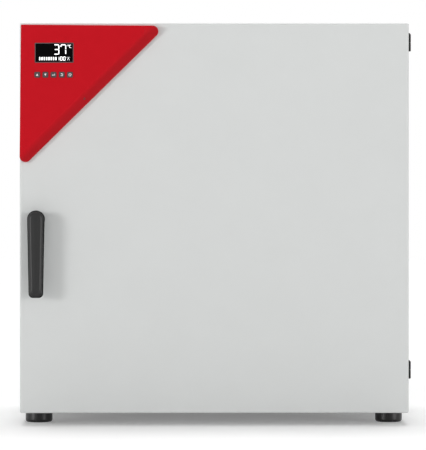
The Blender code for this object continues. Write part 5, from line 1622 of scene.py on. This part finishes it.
@dataclass
class LeverHandle:
    """Black lever with a round hub, its neck and the collar it turns in."""

    width: float = 0.032
    tip_width: float = 0.026
    length: float = 0.1587
    tip_radius: float = 0.008
    grip_depth: float = 0.018
    crown: Flat = (0.008, 0.0070)
    skirt: float = 0.0010
    spine_end: float = 0.022
    bow: float = 0.0006
    ring: float = 0.0014
    soft: float = 0.0004
    tip_slope: float = 1.6
    back_round: float = 0.0025
    neck_radius: float = 0.0135
    collar_radius: float = 0.0155
    collar_height: float = 0.003
    sleeve_radius: float = 0.009
    bore_radius: float = 0.0060
    neck_round: float = 0.0012
    collar_round: float = 0.0010
    low: Vector = field(default_factory=lambda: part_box("handle_lever")[0])
    high: Vector = field(default_factory=lambda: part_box("handle_lever")[1])

    def __post_init__(self) -> None:
        """Find the hub's middle from the CAD lever."""
        self.x = (self.low[0] + self.high[0]) / 2
        self.z = self.high[2] - self.width / 2

    def outline(self, inset: float, below: float = 1.0, steps: int = 16) -> list[Flat]:
        """Front outline of the lever, moved in by a distance.

        Args:
            inset: The distance.
            below: How many times as far the lower end moves in.
            steps: Straight steps in each corner.

        Returns:
            The outline.
        """
        half, tip = self.width / 2, self.tip_width / 2
        top = self.z + half
        bottom = top - self.length
        corners = [(self.x - tip, bottom), (self.x + tip, bottom)]
        corners += [(self.x + half, top), (self.x - half, top)]
        corners = inset_corners(corners, [inset * below, inset, inset, inset])
        tip_radius = max(self.tip_radius - inset * 0.6, 0.002)
        hub_radius = (half - inset) * 0.97
        return rounded_outline(corners, [tip_radius, tip_radius, hub_radius, hub_radius], steps)

    def build(self) -> None:
        """Build and dress the lever's two shells, its neck and its collar."""
        self.build_front_shell()
        self.build_rear_shell()
        self.build_collar()

    def build_front_shell(self) -> None:
        """Front shell: slightly crowned along the middle, its edges rounded, its lower end sloped."""
        front, ring = self.low[1], self.ring
        edge = quarter(*self.crown, 12)
        loops = []
        for inset, drop in [(0.0, self.crown[1] + self.skirt)] + edge:
            flat = self.outline(ring + inset, self.tip_slope)
            loops.append([(x, front + self.bow + drop, z) for x, z in flat])
        rim = loops[-1]
        lowest = self.z + self.width / 2 - self.length + self.spine_end
        for share in (0.8, 0.6, 0.4, 0.2, 0.02):
            loop = []
            for x, _, z in rim:
                spine = min(max(z, lowest), self.z)
                rise = front + self.bow * share * share
                loop.append((self.x + (x - self.x) * share, rise, spine + (z - spine) * share))
            loops.append(loop)
        shell = skin("handle_front_shell", loops)
        dress(shell, HANDLE_BLACK, "handle")

    def build_rear_shell(self) -> None:
        """Rear shell, a little wider all round than the front one, with the neck on its back; its
        darker black is painted shade along the lever's rim.
        """
        front = self.low[1] + self.bow + self.crown[1]
        back = self.low[1] + self.grip_depth
        edge = self.back_round
        side = [(self.ring + 0.001, front), (self.soft, front), (0.0, front + self.soft)]
        side += [(inset, back - drop) for inset, drop in quarter(edge, edge, 5)]
        loops = [[(x, y, z) for x, z in self.outline(inset)] for inset, y in side]
        shell = skin("handle_rear_shell", loops)
        neck_end = self.high[1]
        start = (self.x, back - edge, self.z)
        neck = new_drum("handle_neck", self.neck_radius, start, Axis.Y, neck_end - start[1], 64)
        soften(neck, Axis.Y, neck_end, self.neck_round, 4)
        dress(joined("handle_rear_shell", [shell, neck]), HANDLE_SHADE_SHELL, "handle", ["handle_lever"])

    def build_collar(self) -> None:
        """Collar: a flange in front of the door and a sleeve through it, bored for the spindle."""
        low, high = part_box("handle_bush")
        start = (self.x, low[1], self.z)
        flange = new_drum("collar_flange", self.collar_radius, start, Axis.Y, self.collar_height, 64)
        with Edit(flange) as edit:
            edit.edges(at_level(Axis.Y, low[1])).bevel(self.collar_round, 4)
            edit.faces(facing((0.0, 1.0, 0.0)))
            edit.inset(self.collar_radius - self.sleeve_radius)
            edit.extrude((0.0, high[1] - low[1] - self.collar_height, 0.0))
        start, through = (self.x, low[1] - 0.001, self.z), high[1] - low[1] + 0.002
        carve(flange, new_drum("collar_bore", self.bore_radius, start, Axis.Y, through, 40))
        flange.name = "handle_collar"
        dress(flange, HANDLE_BLACK, "door", ["handle_bush"])


class Leaf(Enum):
    """A hinge's leaf, by what it is screwed to."""

    HOUSING = "housing"
    DOOR = "door"


@dataclass
class DoorHinge:
    """One butt hinge at the door's right edge."""

    name: str
    knuckle_radius: float = 0.004
    knuckle_round: float = 0.0018
    split_round: float = 0.0003
    split: float = 0.0002
    leaf_thickness: float = 0.0019
    leaf_apart: float = 0.0003
    leaf_clear: float = 0.0004
    leaf_corner: float = 0.004
    pin_radius: float = 0.002
    head_radius: float = 0.0024
    head_height: float = 0.0012

    def build(self) -> None:
        """Build and dress both leaves and the pin."""
        pin_low, pin_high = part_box(f"hinge_pin_{self.name}")
        axis = ((pin_low[0] + pin_high[0]) / 2, (pin_low[1] + pin_high[1]) / 2)
        self.build_leaf(Leaf.HOUSING, axis, "cabinet")
        self.build_leaf(Leaf.DOOR, axis, "door")
        self.build_pin(pin_low, pin_high, axis)

    def build_leaf(self, leaf: Leaf, axis: Flat, body: str) -> None:
        """One leaf: its plate and half of the knuckle.

        Args:
            leaf: Which leaf.
            axis: Where the pin stands, X and Y.
            body: The CAD body it moves with.
        """
        node = f"hinge_leaf_{leaf.value}_{self.name}"
        low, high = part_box(node)
        middle = (low[2] + high[2]) / 2
        thick, apart = self.leaf_thickness, self.leaf_apart
        if leaf is Leaf.HOUSING:
            start, end, y0 = low[2], middle - self.split, axis[1] + apart
            low_round, high_round = self.knuckle_round, self.split_round
        else:
            start, end, y0 = middle + self.split, high[2], axis[1] - apart - thick
            low_round, high_round = self.split_round, self.knuckle_round
        foot = (*axis, start)
        knuckle = new_drum("knuckle", self.knuckle_radius, foot, Axis.Z, end - start)
        soften(knuckle, Axis.Z, start, low_round, 5)
        soften(knuckle, Axis.Z, end, high_round, 5)
        x1 = axis[0] - self.knuckle_radius - self.leaf_clear
        plate = new_block("leaf_plate", (low[0], y0, low[2]), (x1, y0 + thick, high[2]))
        with Edit(plate) as edit:
            edit.edges(lambda a, b: near(a.x, low[0]) and near(b.x, low[0]) and near(a.z, b.z))
            edit.bevel(self.leaf_corner, 5)
        web_low = (x1 - 0.001, y0, start + low_round)
        web = new_block("leaf_web", web_low, (axis[0], y0 + thick, end - high_round))
        piece = joined(f"hinge_{leaf.value}_leaf_{self.name}", [plate, knuckle, web])
        dress(piece, HINGE_BLACK, body, [node])

    def build_pin(self, low: Vector, high: Vector, axis: Flat) -> None:
        """Pin with a domed head above the knuckle.

        Args:
            low: Lowest corner of the CAD pin.
            high: Its highest corner.
            axis: Where it stands, X and Y.
        """
        head = self.head_height
        neck = high[2] - head
        shaft = new_drum("pin_shaft", self.pin_radius, (*axis, low[2]), Axis.Z, neck - low[2], 32)
        top = new_drum("pin_head", self.head_radius, (*axis, neck), Axis.Z, head, 32)
        soften(top, Axis.Z, high[2], head * 0.8, 4)
        pin = joined(f"hinge_pin_black_{self.name}", [shaft, top])
        dress(pin, HINGE_BLACK, "cabinet", [f"hinge_pin_{self.name}"])


@dataclass
class RubberFoot:
    """Round foot with a chamfered tread and a screw in its recess."""

    node: str
    chamfer: float = 0.0052
    top_round: float = 0.0012
    recess_radius: float = 0.007
    recess_depth: float = 0.012
    screw_radius: float = 0.0050
    screw_height: float = 0.0038
    screw_seat: float = 0.004
    screw_wall: float = 0.0020
    screw_round: float = 0.0008

    def build(self) -> None:
        """Build and dress the foot and its screw."""
        low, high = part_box(self.node)
        middle = ((low[0] + high[0]) / 2, (low[1] + high[1]) / 2)
        radius = (high[0] - low[0]) / 2
        name, start = f"{self.node}_rubber", (*middle, low[2])
        foot = new_drum(name, radius, start, Axis.Z, high[2] - low[2], 72)
        with Edit(foot) as edit:
            edit.edges(at_level(Axis.Z, low[2])).bevel(self.chamfer, 4)
            edit.edges(at_level(Axis.Z, high[2])).bevel(self.top_round, 4)
            edit.faces(facing((0.0, 0.0, -1.0))).inset(radius - self.chamfer - self.recess_radius)
            edit.extrude((0.0, 0.0, self.recess_depth))
        dress(foot, FOOT_RUBBER, "cabinet", [self.node])
        name, start = f"{self.node}_screw", (*middle, self.recess_depth - self.screw_seat)
        head = new_drum(name, self.screw_radius, start, Axis.Z, self.screw_height, 32)
        with Edit(head) as edit:
            edit.edges(at_level(Axis.Z, start[2])).bevel(self.screw_round, 3)
            edit.faces(facing((0.0, 0.0, -1.0))).inset(self.screw_wall)
            edit.extrude((0.0, 0.0, self.screw_wall))
        dress(head, ZINC_SCREW, "cabinet")


@dataclass
class Casing:
    """The housing's four flanged sheets, with their folded edges rounded."""

    edge: float = 0.0005

    def build(self) -> None:
        """Build and dress the four sheets."""
        for node in ("casing_left", "casing_right", "casing_top", "base_plate"):
            dress(refined(node, f"{node}_painted", self.edge), HOUSING_PAINT, "cabinet", [node])


@dataclass
class RearSide:
    """Rear panel with its vents, its screws and its two sockets."""

    edge_inset: float = 0.0070
    vent_count: int = 9
    vent_length: float = 0.120
    vent_width: float = 0.004
    vent_pitch: float = 0.011
    vent_edge: float = 0.0695
    fit: float = 0.0003
    corner: float = 0.003
    edge: float = 0.0004
    inlet_flange: float = 0.003
    spare: float = 0.002
    blade_half: Flat = (0.0011, 0.0021)
    blade_low: float = 0.003
    blade_tip: float = 0.0146
    blade_round: float = 0.0006
    contact_pitch: float = 0.00102
    contact_half: float = 0.0002
    contact_ends: Flat = (0.0030, 0.004)

    def build(self) -> None:
        """Build and dress the panel, screws, sockets and contacts."""
        self.build_panel()
        for node in ("mains_inlet", "network_socket"):
            dress(refined(node, f"{node}_black", self.edge), SOCKET_BLACK, "cabinet", [node])
        shares = ((0.06, 0.5, 0.94), (0.35, 0.65))
        places = border_places("rear_panel", self.edge_inset, *shares, from_top=True)
        ScrewRow("rear_panel_screws", 0.0042, 0.0022).build(places, Facing.BACK, "cabinet")
        self.build_contacts()

    def slot_places(self) -> list[Point]:
        """Middle of each vent slot.

        Returns:
            The places on the panel's back.
        """
        low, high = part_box("rear_panel")
        x_mid = middle_of("rear_panel")[0]
        places = []
        for edge, step in ((high[2] - self.vent_edge, -1), (low[2] + self.vent_edge, 1)):
            for side in Side:
                x = x_mid + side.value * (self.vent_length / 2 + self.vent_pitch)
                for k in range(self.vent_count):
                    places.append((x, high[1], edge + step * k * self.vent_pitch))
        return places

    def build_panel(self) -> None:
        """Painted sheet with rounded vent slots and the sockets' openings."""
        low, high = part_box("rear_panel")
        panel = new_block("rear_panel_painted", low, high)
        with Edit(panel) as edit:
            edit.edges(along(Axis.Y)).bevel(self.corner, 5)
            edit.edges(at_level(Axis.Y, high[1])).bevel(self.edge, 2)
        near_y, far_y = low[1] - self.spare, high[1] + self.spare
        places = self.slot_places()
        x, _, z = places[0]
        half, rise = self.vent_length / 2, self.vent_width / 2
        slot = new_block("vent_slot", (x - half, near_y, z - rise), (x + half, far_y, z + rise))
        with Edit(slot) as edit:
            edit.edges(along(Axis.Y)).bevel(rise * 0.96, 5)
        slots = [slot]
        for place in places[1:]:
            shift = (place[0] - x, 0.0, place[2] - z)
            slots.append(duplicate(slot, "vent_slot", shift))
        for node, flange in (("mains_inlet", self.inlet_flange), ("network_socket", 0.0)):
            inner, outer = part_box(node)
            grow = self.fit - flange
            lowest = (inner[0] - grow, near_y, inner[2] - grow)
            highest = (outer[0] + grow, far_y, outer[2] + grow)
            slots.append(new_block("socket_opening", lowest, highest))
        carve(panel, joined("rear_openings", slots))
        dress(panel, HOUSING_PAINT, "cabinet", ["rear_panel"])

    def build_contacts(self) -> None:
        """Tinned pins inside the mains inlet and contacts inside the network socket."""
        low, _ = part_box("mains_inlet")
        middle = middle_of("mains_inlet")
        start, tip = low[1] + self.blade_low, low[1] + self.blade_tip
        wide, tall = self.blade_half
        pins = []
        for dx, dz in ((-0.007, -0.002), (0.0, 0.002), (0.007, -0.002)):
            x, z = middle[0] + dx, middle[1] + dz
            blade = new_block("inlet_blade", (x - wide, start, z - tall), (x + wide, tip, z + tall))
            soften(blade, Axis.Y, tip, self.blade_round, 3)
            pins.append(blade)
        dress(joined("mains_inlet_pins", pins), TURNED_STEEL, "cabinet")
        low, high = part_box("network_socket")
        start, tip = low[1] + self.contact_ends[0], high[1] - self.contact_ends[1]
        z, half = high[2] - 0.0032, self.contact_half
        first = middle_of("network_socket")[0] - 0.0036
        contacts = []
        for k in range(8):
            x = first + k * self.contact_pitch
            contacts.append(new_block("contact", (x - half, start, z), (x + half, tip, z + 0.0005)))
        dress(joined("network_socket_contacts", contacts), CHROMED_WIRE, "cabinet")


@dataclass
class WireShelf:
    """Chromed wire shelf: a rod frame, cross bars and lengthwise wires."""

    node: str
    body: str
    frame_radius: float = 0.003
    wire_radius: float = 0.0015
    wire_round: float = 0.0005
    corner: float = 0.010
    pitch: float = 0.030
    cross_bars: int = 2

    def build(self) -> None:
        """Build and dress the shelf as one piece."""
        low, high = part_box(self.node)
        r = self.frame_radius
        # The CAD rod has eight sides, so its lowest face lies nearer than its radius.
        z = low[2] + r * math.cos(math.pi / 8)
        x0, x1 = low[0] + r, high[0] - r
        y0, y1 = low[1] + r, high[1] - r
        parts = [self.rod_frame((x0, y0), (x1, y1), z)]
        for k in range(1, self.cross_bars + 1):
            y = y0 + (y1 - y0) * k / (self.cross_bars + 1)
            parts.append(new_drum("cross_bar", r * 0.8, (x0, y, z), Axis.X, x1 - x0, 16))
        count = round((x1 - x0) / self.pitch)
        rise = z + r * 0.62
        for k in range(1, count):
            x = x0 + (x1 - x0) * k / count
            wire = new_drum("wire", self.wire_radius, (x, y0, rise), Axis.Y, y1 - y0, 16)
            soften(wire, Axis.Y, y0, self.wire_round, 2)
            parts.append(wire)
        dress(joined(f"{self.node}_wire", parts), CHROMED_WIRE, self.body, [self.node])

    def rod_frame(self, low: Flat, high: Flat, z: float) -> Piece:
        """The frame bent from one rod, as a rounded plane's outline given thickness.

        Args:
            low: Lowest X and Y of the rod's middle line.
            high: Its highest X and Y.
            z: Its height.

        Returns:
            The frame.
        """
        deselect_all()
        middle = ((low[0] + high[0]) / 2, (low[1] + high[1]) / 2, z)
        bpy.ops.mesh.primitive_plane_add(size=1.0, location=middle)
        rod = bpy.context.object
        rod.scale = (high[0] - low[0], high[1] - low[1], 1.0)
        settle(rod)
        with Edit(rod):
            bpy.ops.mesh.select_all(action="SELECT")
            bpy.ops.mesh.bevel(offset=self.corner, segments=8, affect="VERTICES")
            bpy.ops.mesh.select_all(action="SELECT")
            bpy.ops.mesh.delete(type="ONLY_FACE")
        pick(rod)
        bpy.ops.object.convert(target="CURVE")
        rod = bpy.context.object
        rod.data.bevel_depth = self.frame_radius
        rod.data.bevel_resolution = 4
        bpy.ops.object.convert(target="MESH")
        return settle(bpy.context.object)


@dataclass
class ChamberWall:
    """One perforated side wall with its pressed shelf rails."""

    side: Side
    sheet: float = 0.0010
    rail_count: int = 7
    rail_inset: float = 0.070
    rail_thickness: float = 0.007
    rail_root: float = 0.003
    hole_radius: float = 0.004
    hole_columns: int = 6
    hole_border: float = 0.060
    hole_reach: float = 0.003
    end_clear: float = 0.01
    bend: float = 0.0008

    def build(self) -> None:
        """Build and dress the wall."""
        node = f"chamber_{self.side.name.lower()}_wall"
        low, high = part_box(node)
        floor, ceiling = chamber_heights()
        pitch = (ceiling - floor - 2 * self.rail_inset) / (self.rail_count - 1)
        back, crest = (high[0], low[0]) if self.side is Side.RIGHT else (low[0], high[0])
        face = back - self.side.value * self.sheet
        hollow = crest + self.side.value * self.sheet
        front, rear = [(face, low[2])], [(back, low[2])]
        for k in range(self.rail_count):
            ledge = floor + self.rail_inset + k * pitch
            under = ledge - self.rail_thickness
            front += [(face, under - self.rail_root), (crest, under), (crest, ledge), (face, ledge)]
            rear += [
                (back, under - self.rail_root + self.sheet),
                (hollow, under + self.sheet),
                (hollow, ledge - self.sheet),
                (back, ledge - self.sheet),
            ]
        section = front + [(face, high[2]), (back, high[2])] + rear[:0:-1] + [rear[0]]
        loops = [[(x, y, z) for x, z in section] for y in (low[1], high[1])]
        wall = skin(f"{node}_pressed", loops)
        with Edit(wall) as edit:
            lowest, highest = low[2] + self.end_clear, high[2] - self.end_clear
            edit.edges(lambda a, b: along(Axis.Y)(a, b) and lowest < a.z < highest)
            edit.bevel(self.bend, 3)
        carve(wall, self.hole_cutter(face, floor, pitch, (low[1], high[1])))
        dress(wall, CHAMBER_STEEL_DEEP, "cabinet", [node])

    def hole_cutter(self, face: float, floor: float, pitch: float, edges: Flat) -> Piece:
        """Drums that cut the air holes, a row between each two rails.

        Args:
            face: Where the wall's face lies.
            floor: Height of the chamber's floor.
            pitch: Distance between rails.
            edges: The wall's front and rear edge.

        Returns:
            The joined cutter.
        """
        reach = self.hole_reach
        y0, span = edges[0] + self.hole_border, edges[1] - edges[0] - 2 * self.hole_border
        z0 = floor + self.rail_inset + (pitch - self.rail_thickness) / 2
        start = (face - reach, y0, z0)
        first = new_drum("air_hole", self.hole_radius, start, Axis.X, 2 * reach, 24)
        drums = [first]
        for row in range(self.rail_count - 1):
            for column in range(self.hole_columns):
                if row or column:
                    shift = (0.0, span * column / (self.hole_columns - 1), row * pitch)
                    drums.append(duplicate(first, "air_hole", shift))
        return joined("air_holes", drums)


@dataclass
class Chamber:
    """Stainless lining of the chamber, as seen through its mouth."""

    grille: tuple[tuple[float, int], ...] = ((0.018, 6), (0.034, 12), (0.050, 18), (0.066, 24))
    grille_hole: float = 0.0055
    probe_hole: float = 0.0028
    screw_apart: float = 0.225
    screw_inset: float = 0.022
    probe_radius: float = 0.0025
    probe_gap: float = 0.0003
    collar_round: float = 0.0006
    fold_edge: float = 0.0003
    step: float = 0.026
    recess: float = 0.013
    sheet: float = 0.0010
    bend: float = 0.0012

    def build(self) -> None:
        """Build and dress every piece of the lining."""
        self.build_front_frame()
        for side in Side:
            ChamberWall(side).build()
        for node in ("chamber_floor", "chamber_ceiling"):
            plate = refined(node, f"{node}_folded", self.fold_edge)
            dress(plate, CHAMBER_STEEL_DEEP, "cabinet", [node])
        self.build_rear_wall()
        self.build_probe()

    def build_front_frame(self) -> None:
        """Frame pressed from one sheet: flange, step down to the recess and lip, all bends rounded."""
        floor, ceiling = chamber_heights()
        middle, outer = middle_of("chamber_front_frame"), half_of("chamber_front_frame")
        wall_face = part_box("chamber_left_wall")[0][0] + self.sheet
        opening = (middle[0] - wall_face, (ceiling - floor) / 2)
        recess = (opening[0] + self.step, opening[1] + self.step)
        y0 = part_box("chamber_front_frame")[0][1]
        y1 = y0 + self.recess
        t, b = self.sheet, self.bend
        arcs = quarter(b, b, 4)
        # Each row: a half size, how far outside it the sheet runs, its depth, its corner radius.
        rows: list[tuple[Flat, float, float, float]] = [(outer, 0.0, y0, 0.001)]
        rows += [(recess, grow, y0 + fall, 0.003) for fall, grow in arcs]
        rows.append((recess, 0.0, y1 - b, 0.002))
        rows += [(recess, -shrink, y1 - rise, 0.002) for shrink, rise in arcs[1:]]
        rows.append((opening, t / 2, y1, 0.0045))
        rows.append((opening, 0.0, y1 + t / 2, 0.004))
        rows.append((opening, t / 2, y1 + t, 0.0045))
        rows.append((recess, t, y1 + t, 0.003))
        rows.append((recess, t, y0 + t, 0.003))
        rows.append((outer, 0.0, y0 + t, 0.001))
        loops = []
        for half, grow, y, radius in rows:
            loops.append(rectangle_loop(middle, (half[0] + grow, half[1] + grow), radius, y, 6))
        frame_piece = skin("chamber_frame_pressed", loops, ring=True)
        dress(frame_piece, FRAME_STEEL, "cabinet", ["chamber_front_frame"])

    def build_rear_wall(self) -> None:
        """Rear wall with the fan's grille, a hole for the probe and its four screws."""
        low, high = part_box("chamber_rear_wall")
        wall = new_block("chamber_rear_wall_sheet", low, high)
        x0, z0 = middle_of("chamber_rear_wall")
        start, through = low[1] - 0.002, 0.005
        inner = self.grille[0][0]
        spot = (x0 + inner, start, z0)
        first = new_drum("grille_hole", self.grille_hole, spot, Axis.Y, through, 28)
        holes = [first]
        for radius, count in self.grille:
            for k in range(count):
                angle = 2 * math.pi * k / count
                shift = (radius * math.cos(angle) - inner, 0.0, radius * math.sin(angle))
                if shift != (0.0, 0.0, 0.0):
                    holes.append(duplicate(first, "grille_hole", shift))
        x, z = middle_of("temperature_probe")
        holes.append(new_drum("probe_hole", self.probe_hole, (x, start, z), Axis.Y, through, 28))
        carve(wall, joined("rear_wall_holes", holes))
        dress(wall, CHAMBER_STEEL, "cabinet", ["chamber_rear_wall"])
        floor, ceiling = chamber_heights()
        levels = (floor + self.screw_inset, ceiling - self.screw_inset)
        sides = (x0 - self.screw_apart, x0 + self.screw_apart)
        places = [(x, low[1], z) for x in sides for z in levels]
        screws = ScrewRow("chamber_rear_screws", 0.0036, 0.0018, 0.0010)
        screws.build(places, Facing.FRONT, "cabinet")

    def build_probe(self) -> None:
        """Temperature probe: a rod with a domed tip and a collar on the rear wall."""
        low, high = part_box("temperature_probe")
        x, z = middle_of("temperature_probe")
        wall_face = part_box("chamber_rear_wall")[0][1]
        radius = self.probe_radius
        rod = new_drum("probe_rod", radius, (x, low[1], z), Axis.Y, high[1] - low[1], 40)
        soften(rod, Axis.Y, low[1], radius * 0.85, 6)
        start = (x, wall_face - self.probe_gap - radius, z)
        collar = new_drum("probe_collar", (high[0] - low[0]) / 2, start, Axis.Y, radius, 6)
        soften(collar, Axis.Y, start[1], self.collar_round, 3)
        probe = joined("temperature_probe_turned", [rod, collar])
        dress(probe, TURNED_STEEL, "cabinet", ["temperature_probe"])


@dataclass
class GlassDoor:
    """Pane with ground edges, its hinges, the knob through it and the silicone seal behind it."""

    pane_corner: float = 0.003
    pane_edge: float = 0.0007
    fitting_edge: float = 0.0004
    knob_radius: float = 0.011
    knob_round: Flat = (0.0018, 0.0022)
    knob_dish: Flat = (0.0015, 0.0004)
    stem_radius: float = 0.0038
    hole_radius: float = 0.0043
    nut_radius: float = 0.008
    nut_round: float = 0.0008
    gap: float = 0.0003
    seal_width: float = 0.003
    seal_corner: float = 0.008

    def build(self) -> None:
        """Build and dress every piece of the inner door."""
        self.build_pane()
        for end in ("upper", "lower"):
            for part, body in (("clamp", "glass_door"), ("bracket", "cabinet")):
                node = f"glass_hinge_{part}_{end}"
                piece = refined(node, f"glass_{part}_{end}", self.fitting_edge)
                dress(piece, TURNED_STEEL, body, [node])
        self.build_knob()
        self.build_seal()

    def build_pane(self) -> None:
        """Clear pane with rounded corners, ground edges and the knob's hole."""
        low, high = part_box("glass_pane")
        pane = new_block("glass_pane_clear", low, high)
        with Edit(pane) as edit:
            edit.edges(along(Axis.Y)).bevel(self.pane_corner, 6)
            faces = [at_level(Axis.Y, level) for level in (low[1], high[1])]
            edit.edges(lambda a, b: any(on_face(a, b) for on_face in faces))
            edit.bevel(self.pane_edge, 2)
        x, z = middle_of("glass_door_knob")
        start = (x, low[1] - 0.002, z)
        carve(pane, new_drum("knob_hole", self.hole_radius, start, Axis.Y, 0.010, 40))
        dress(pane, PANE_GLASS, "glass_door", ["glass_pane"])

    def build_knob(self) -> None:
        """Turned knob in front of the pane and its nut behind."""
        low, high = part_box("glass_door_knob")
        pane_low, pane_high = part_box("glass_pane")
        x, z = middle_of("glass_door_knob")
        face, rear = pane_low[1] - self.gap, pane_high[1] + self.gap
        front = new_drum("knob_front", self.knob_radius, (x, low[1], z), Axis.Y, face - low[1], 64)
        with Edit(front) as edit:
            edit.edges(at_level(Axis.Y, low[1])).bevel(self.knob_round[0], 5)
            edit.edges(at_level(Axis.Y, face)).bevel(self.knob_round[1], 4)
            edit.faces(facing((0.0, -1.0, 0.0))).inset(self.knob_dish[0])
            edit.extrude((0.0, self.knob_dish[1], 0.0))
        start = (x, face - 0.001, z)
        stem = new_drum("knob_stem", self.stem_radius, start, Axis.Y, 0.008, 32)
        nut = new_drum("knob_nut", self.nut_radius, (x, rear, z), Axis.Y, high[1] - rear, 6)
        soften(nut, Axis.Y, high[1], self.nut_round, 3)
        knob = joined("glass_door_knob_turned", [front, stem, nut])
        dress(knob, TURNED_STEEL, "glass_door", ["glass_door_knob"])

    def build_seal(self) -> None:
        """Narrow lip seal on the frame's step."""
        low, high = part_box("glass_door_seal")
        start, depth, width = low[1], high[1] - low[1], self.seal_width
        profile = [(0.0, 1.0), (0.0, 0.35), (0.12, 0.1), (0.35, 0.0), (0.65, 0.0), (0.88, 0.1)]
        profile += [(1.0, 0.35), (1.0, 1.0)]
        rows = [(a * width, start + b * depth, self.seal_corner - a * width) for a, b in profile]
        seal = skin("glass_seal_silicone", inset_loops("glass_door_seal", rows), ring=True)
        dress(seal, SEAL_SILICONE, "cabinet", ["glass_door_seal"])


@dataclass
class Studio:
    """White studio: floor, world, three lamps and the camera."""

    distance: float = 5.5
    sensor: float = 36.0
    mm_per_pixel: float = 1.825
    eye_pixel: Flat = (185.0, 215.0)
    picture: tuple[int, int] = (426, 450)
    left_edge_pixel: float = 19.9
    level_height: float = 0.3842
    world_strength: float = 0.40
    left_strength: float = 1.16
    right_strength: float = 0.96
    top_strength: float = 1.50
    floor_glow: float = 0.20

    def build(self, door: Door) -> None:
        """Build the stage round the object.

        Args:
            door: The outer door, which the camera is set by.
        """
        self.build_floor()
        self.build_world()
        self.build_lamps()
        self.build_camera(door)

    def build_floor(self) -> None:
        """Wide pale floor that keeps the object's shadow."""
        deselect_all()
        bpy.ops.mesh.primitive_plane_add(size=40.0)
        floor = bpy.context.object
        floor.name = "floor"
        g = Graph("floor_white")
        g.tree.nodes.remove(g.shader)
        diffuse = g.add("ShaderNodeBsdfDiffuse", {"Color": "F2F2F2"})
        seen = {0: self.seen_ray(g), 1: self.floor_glow}
        share = g.add("ShaderNodeMath", seen, operation="MULTIPLY")
        glow = g.add("ShaderNodeEmission", {"Strength": share.outputs[0]})
        both = g.add("ShaderNodeAddShader", {0: diffuse.outputs[0], 1: glow.outputs[0]})
        g.feed(g.tree.nodes["Material Output"].inputs["Surface"], both.outputs[0])
        floor.data.materials.append(g.material)

    def build_world(self) -> None:
        """White surroundings: full white where seen, mirrored or seen through glass."""
        world = bpy.data.worlds.new("studio")
        bpy.context.scene.world = world
        world.use_nodes = True
        nodes = Nodes(world.node_tree)
        ends = {"To Min": self.world_strength, "To Max": 1.0}
        strength = nodes.add("ShaderNodeMapRange", {"Value": self.seen_ray(nodes), **ends})
        background = nodes.tree.nodes["Background"]
        nodes.feed(background.inputs["Color"], "FFFFFF")
        nodes.feed(background.inputs["Strength"], strength.outputs["Result"])

    def seen_ray(self, nodes: Nodes) -> Socket:
        """Whether a surface is seen straight on, mirrored in metal or through glass.

        Args:
            nodes: The node tree to add it to.

        Returns:
            A socket that gives 1 for such rays and 0 for the light on the object.
        """
        path = nodes.add("ShaderNodeLightPath").outputs
        seen = path["Is Camera Ray"]
        for kind in ("Is Glossy Ray", "Is Transmission Ray"):
            either = nodes.add("ShaderNodeMath", {0: seen, 1: path[kind]}, operation="MAXIMUM")
            seen = either.outputs[0]
        return seen

    def build_lamps(self) -> None:
        """Soft light from both sides in front, and from above the object."""
        self.build_lamp("left_light", self.left_strength, 15.0, (-0.765, -0.64, 0.08))
        self.build_lamp("right_light", self.right_strength, 15.0, (0.765, -0.64, 0.08))
        self.build_lamp("top_light", self.top_strength, 30.0, (0.0, 0.25, 0.97))

    def build_lamp(self, name: str, strength: float, spread: float, towards: Point) -> None:
        """One lamp far away.

        Args:
            name: Its name.
            strength: Its strength.
            spread: Its apparent width in degrees, which softens its shadows.
            towards: Direction from the object to the lamp.
        """
        data = bpy.data.lights.new(name, "SUN")
        data.energy = strength
        data.angle = math.radians(spread)
        lamp = bpy.data.objects.new(name, data)
        bpy.context.collection.objects.link(lamp)
        lamp.rotation_mode = "QUATERNION"
        lamp.rotation_quaternion = Vector(towards).to_track_quat("Z", "Y")

    def spot(self, door: Door, px: float, py: float) -> Vector:
        """Where a place of the photograph lies on the door's front.

        Args:
            door: The outer door.
            px: Pixels from the picture's left edge.
            py: Pixels from its top.

        Returns:
            The place.
        """
        scale = self.mm_per_pixel * MM
        x = door.low[0] + (px - self.left_edge_pixel) * scale
        z = self.level_height - (py - self.eye_pixel[1]) * scale
        return Vector((x, door.low[1], z))

    def build_camera(self, door: Door) -> None:
        """Camera square to the door, with the photograph's frame.

        Args:
            door: The outer door.
        """
        across, down = self.picture
        data = bpy.data.cameras.new("camera")
        data.sensor_width = self.sensor
        data.lens = self.sensor * self.distance / (max(across, down) * self.mm_per_pixel * MM)
        data.clip_end = 100.0
        camera = bpy.data.objects.new("camera", data)
        bpy.context.collection.objects.link(camera)
        eye = self.spot(door, *self.eye_pixel) - Vector((0.0, self.distance, 0.0))
        aim = self.spot(door, across / 2, down / 2)
        camera.location = eye
        camera.rotation_mode = "QUATERNION"
        camera.rotation_quaternion = (aim - eye).to_track_quat("-Z", "Y")
        bpy.context.scene.camera = camera


def dress_carried_over() -> None:
    """Give every CAD node that stays visible its finish."""
    for node, finish in CARRIED_OVER.items():
        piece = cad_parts[node]
        piece.data.materials.clear()
        piece.data.materials.append(finish.material())
        LOG.info("%s: carried over, %s", node, finish.name)


def main() -> None:
    """Build the sub-assemblies in order, then the studio."""
    logging.basicConfig(level=logging.INFO, format="%(name)s: %(message)s")
    dress_carried_over()
    door = Door()
    door.build()
    ControlPanel(door).build()
    LeverHandle().build()
    for name in ("upper", "lower"):
        DoorHinge(name).build()
    for end in ("front", "rear"):
        for hand in ("left", "right"):
            RubberFoot(f"foot_{end}_{hand}").build()
    Casing().build()
    RearSide().build()
    Chamber().build()
    WireShelf("shelf_lower", "lower_shelf").build()
    WireShelf("shelf_upper", "upper_shelf").build()
    GlassDoor().build()
    Studio().build(door)
    bpy.context.scene.view_settings.view_transform = "Standard"


if __name__ == "__main__":
    main()
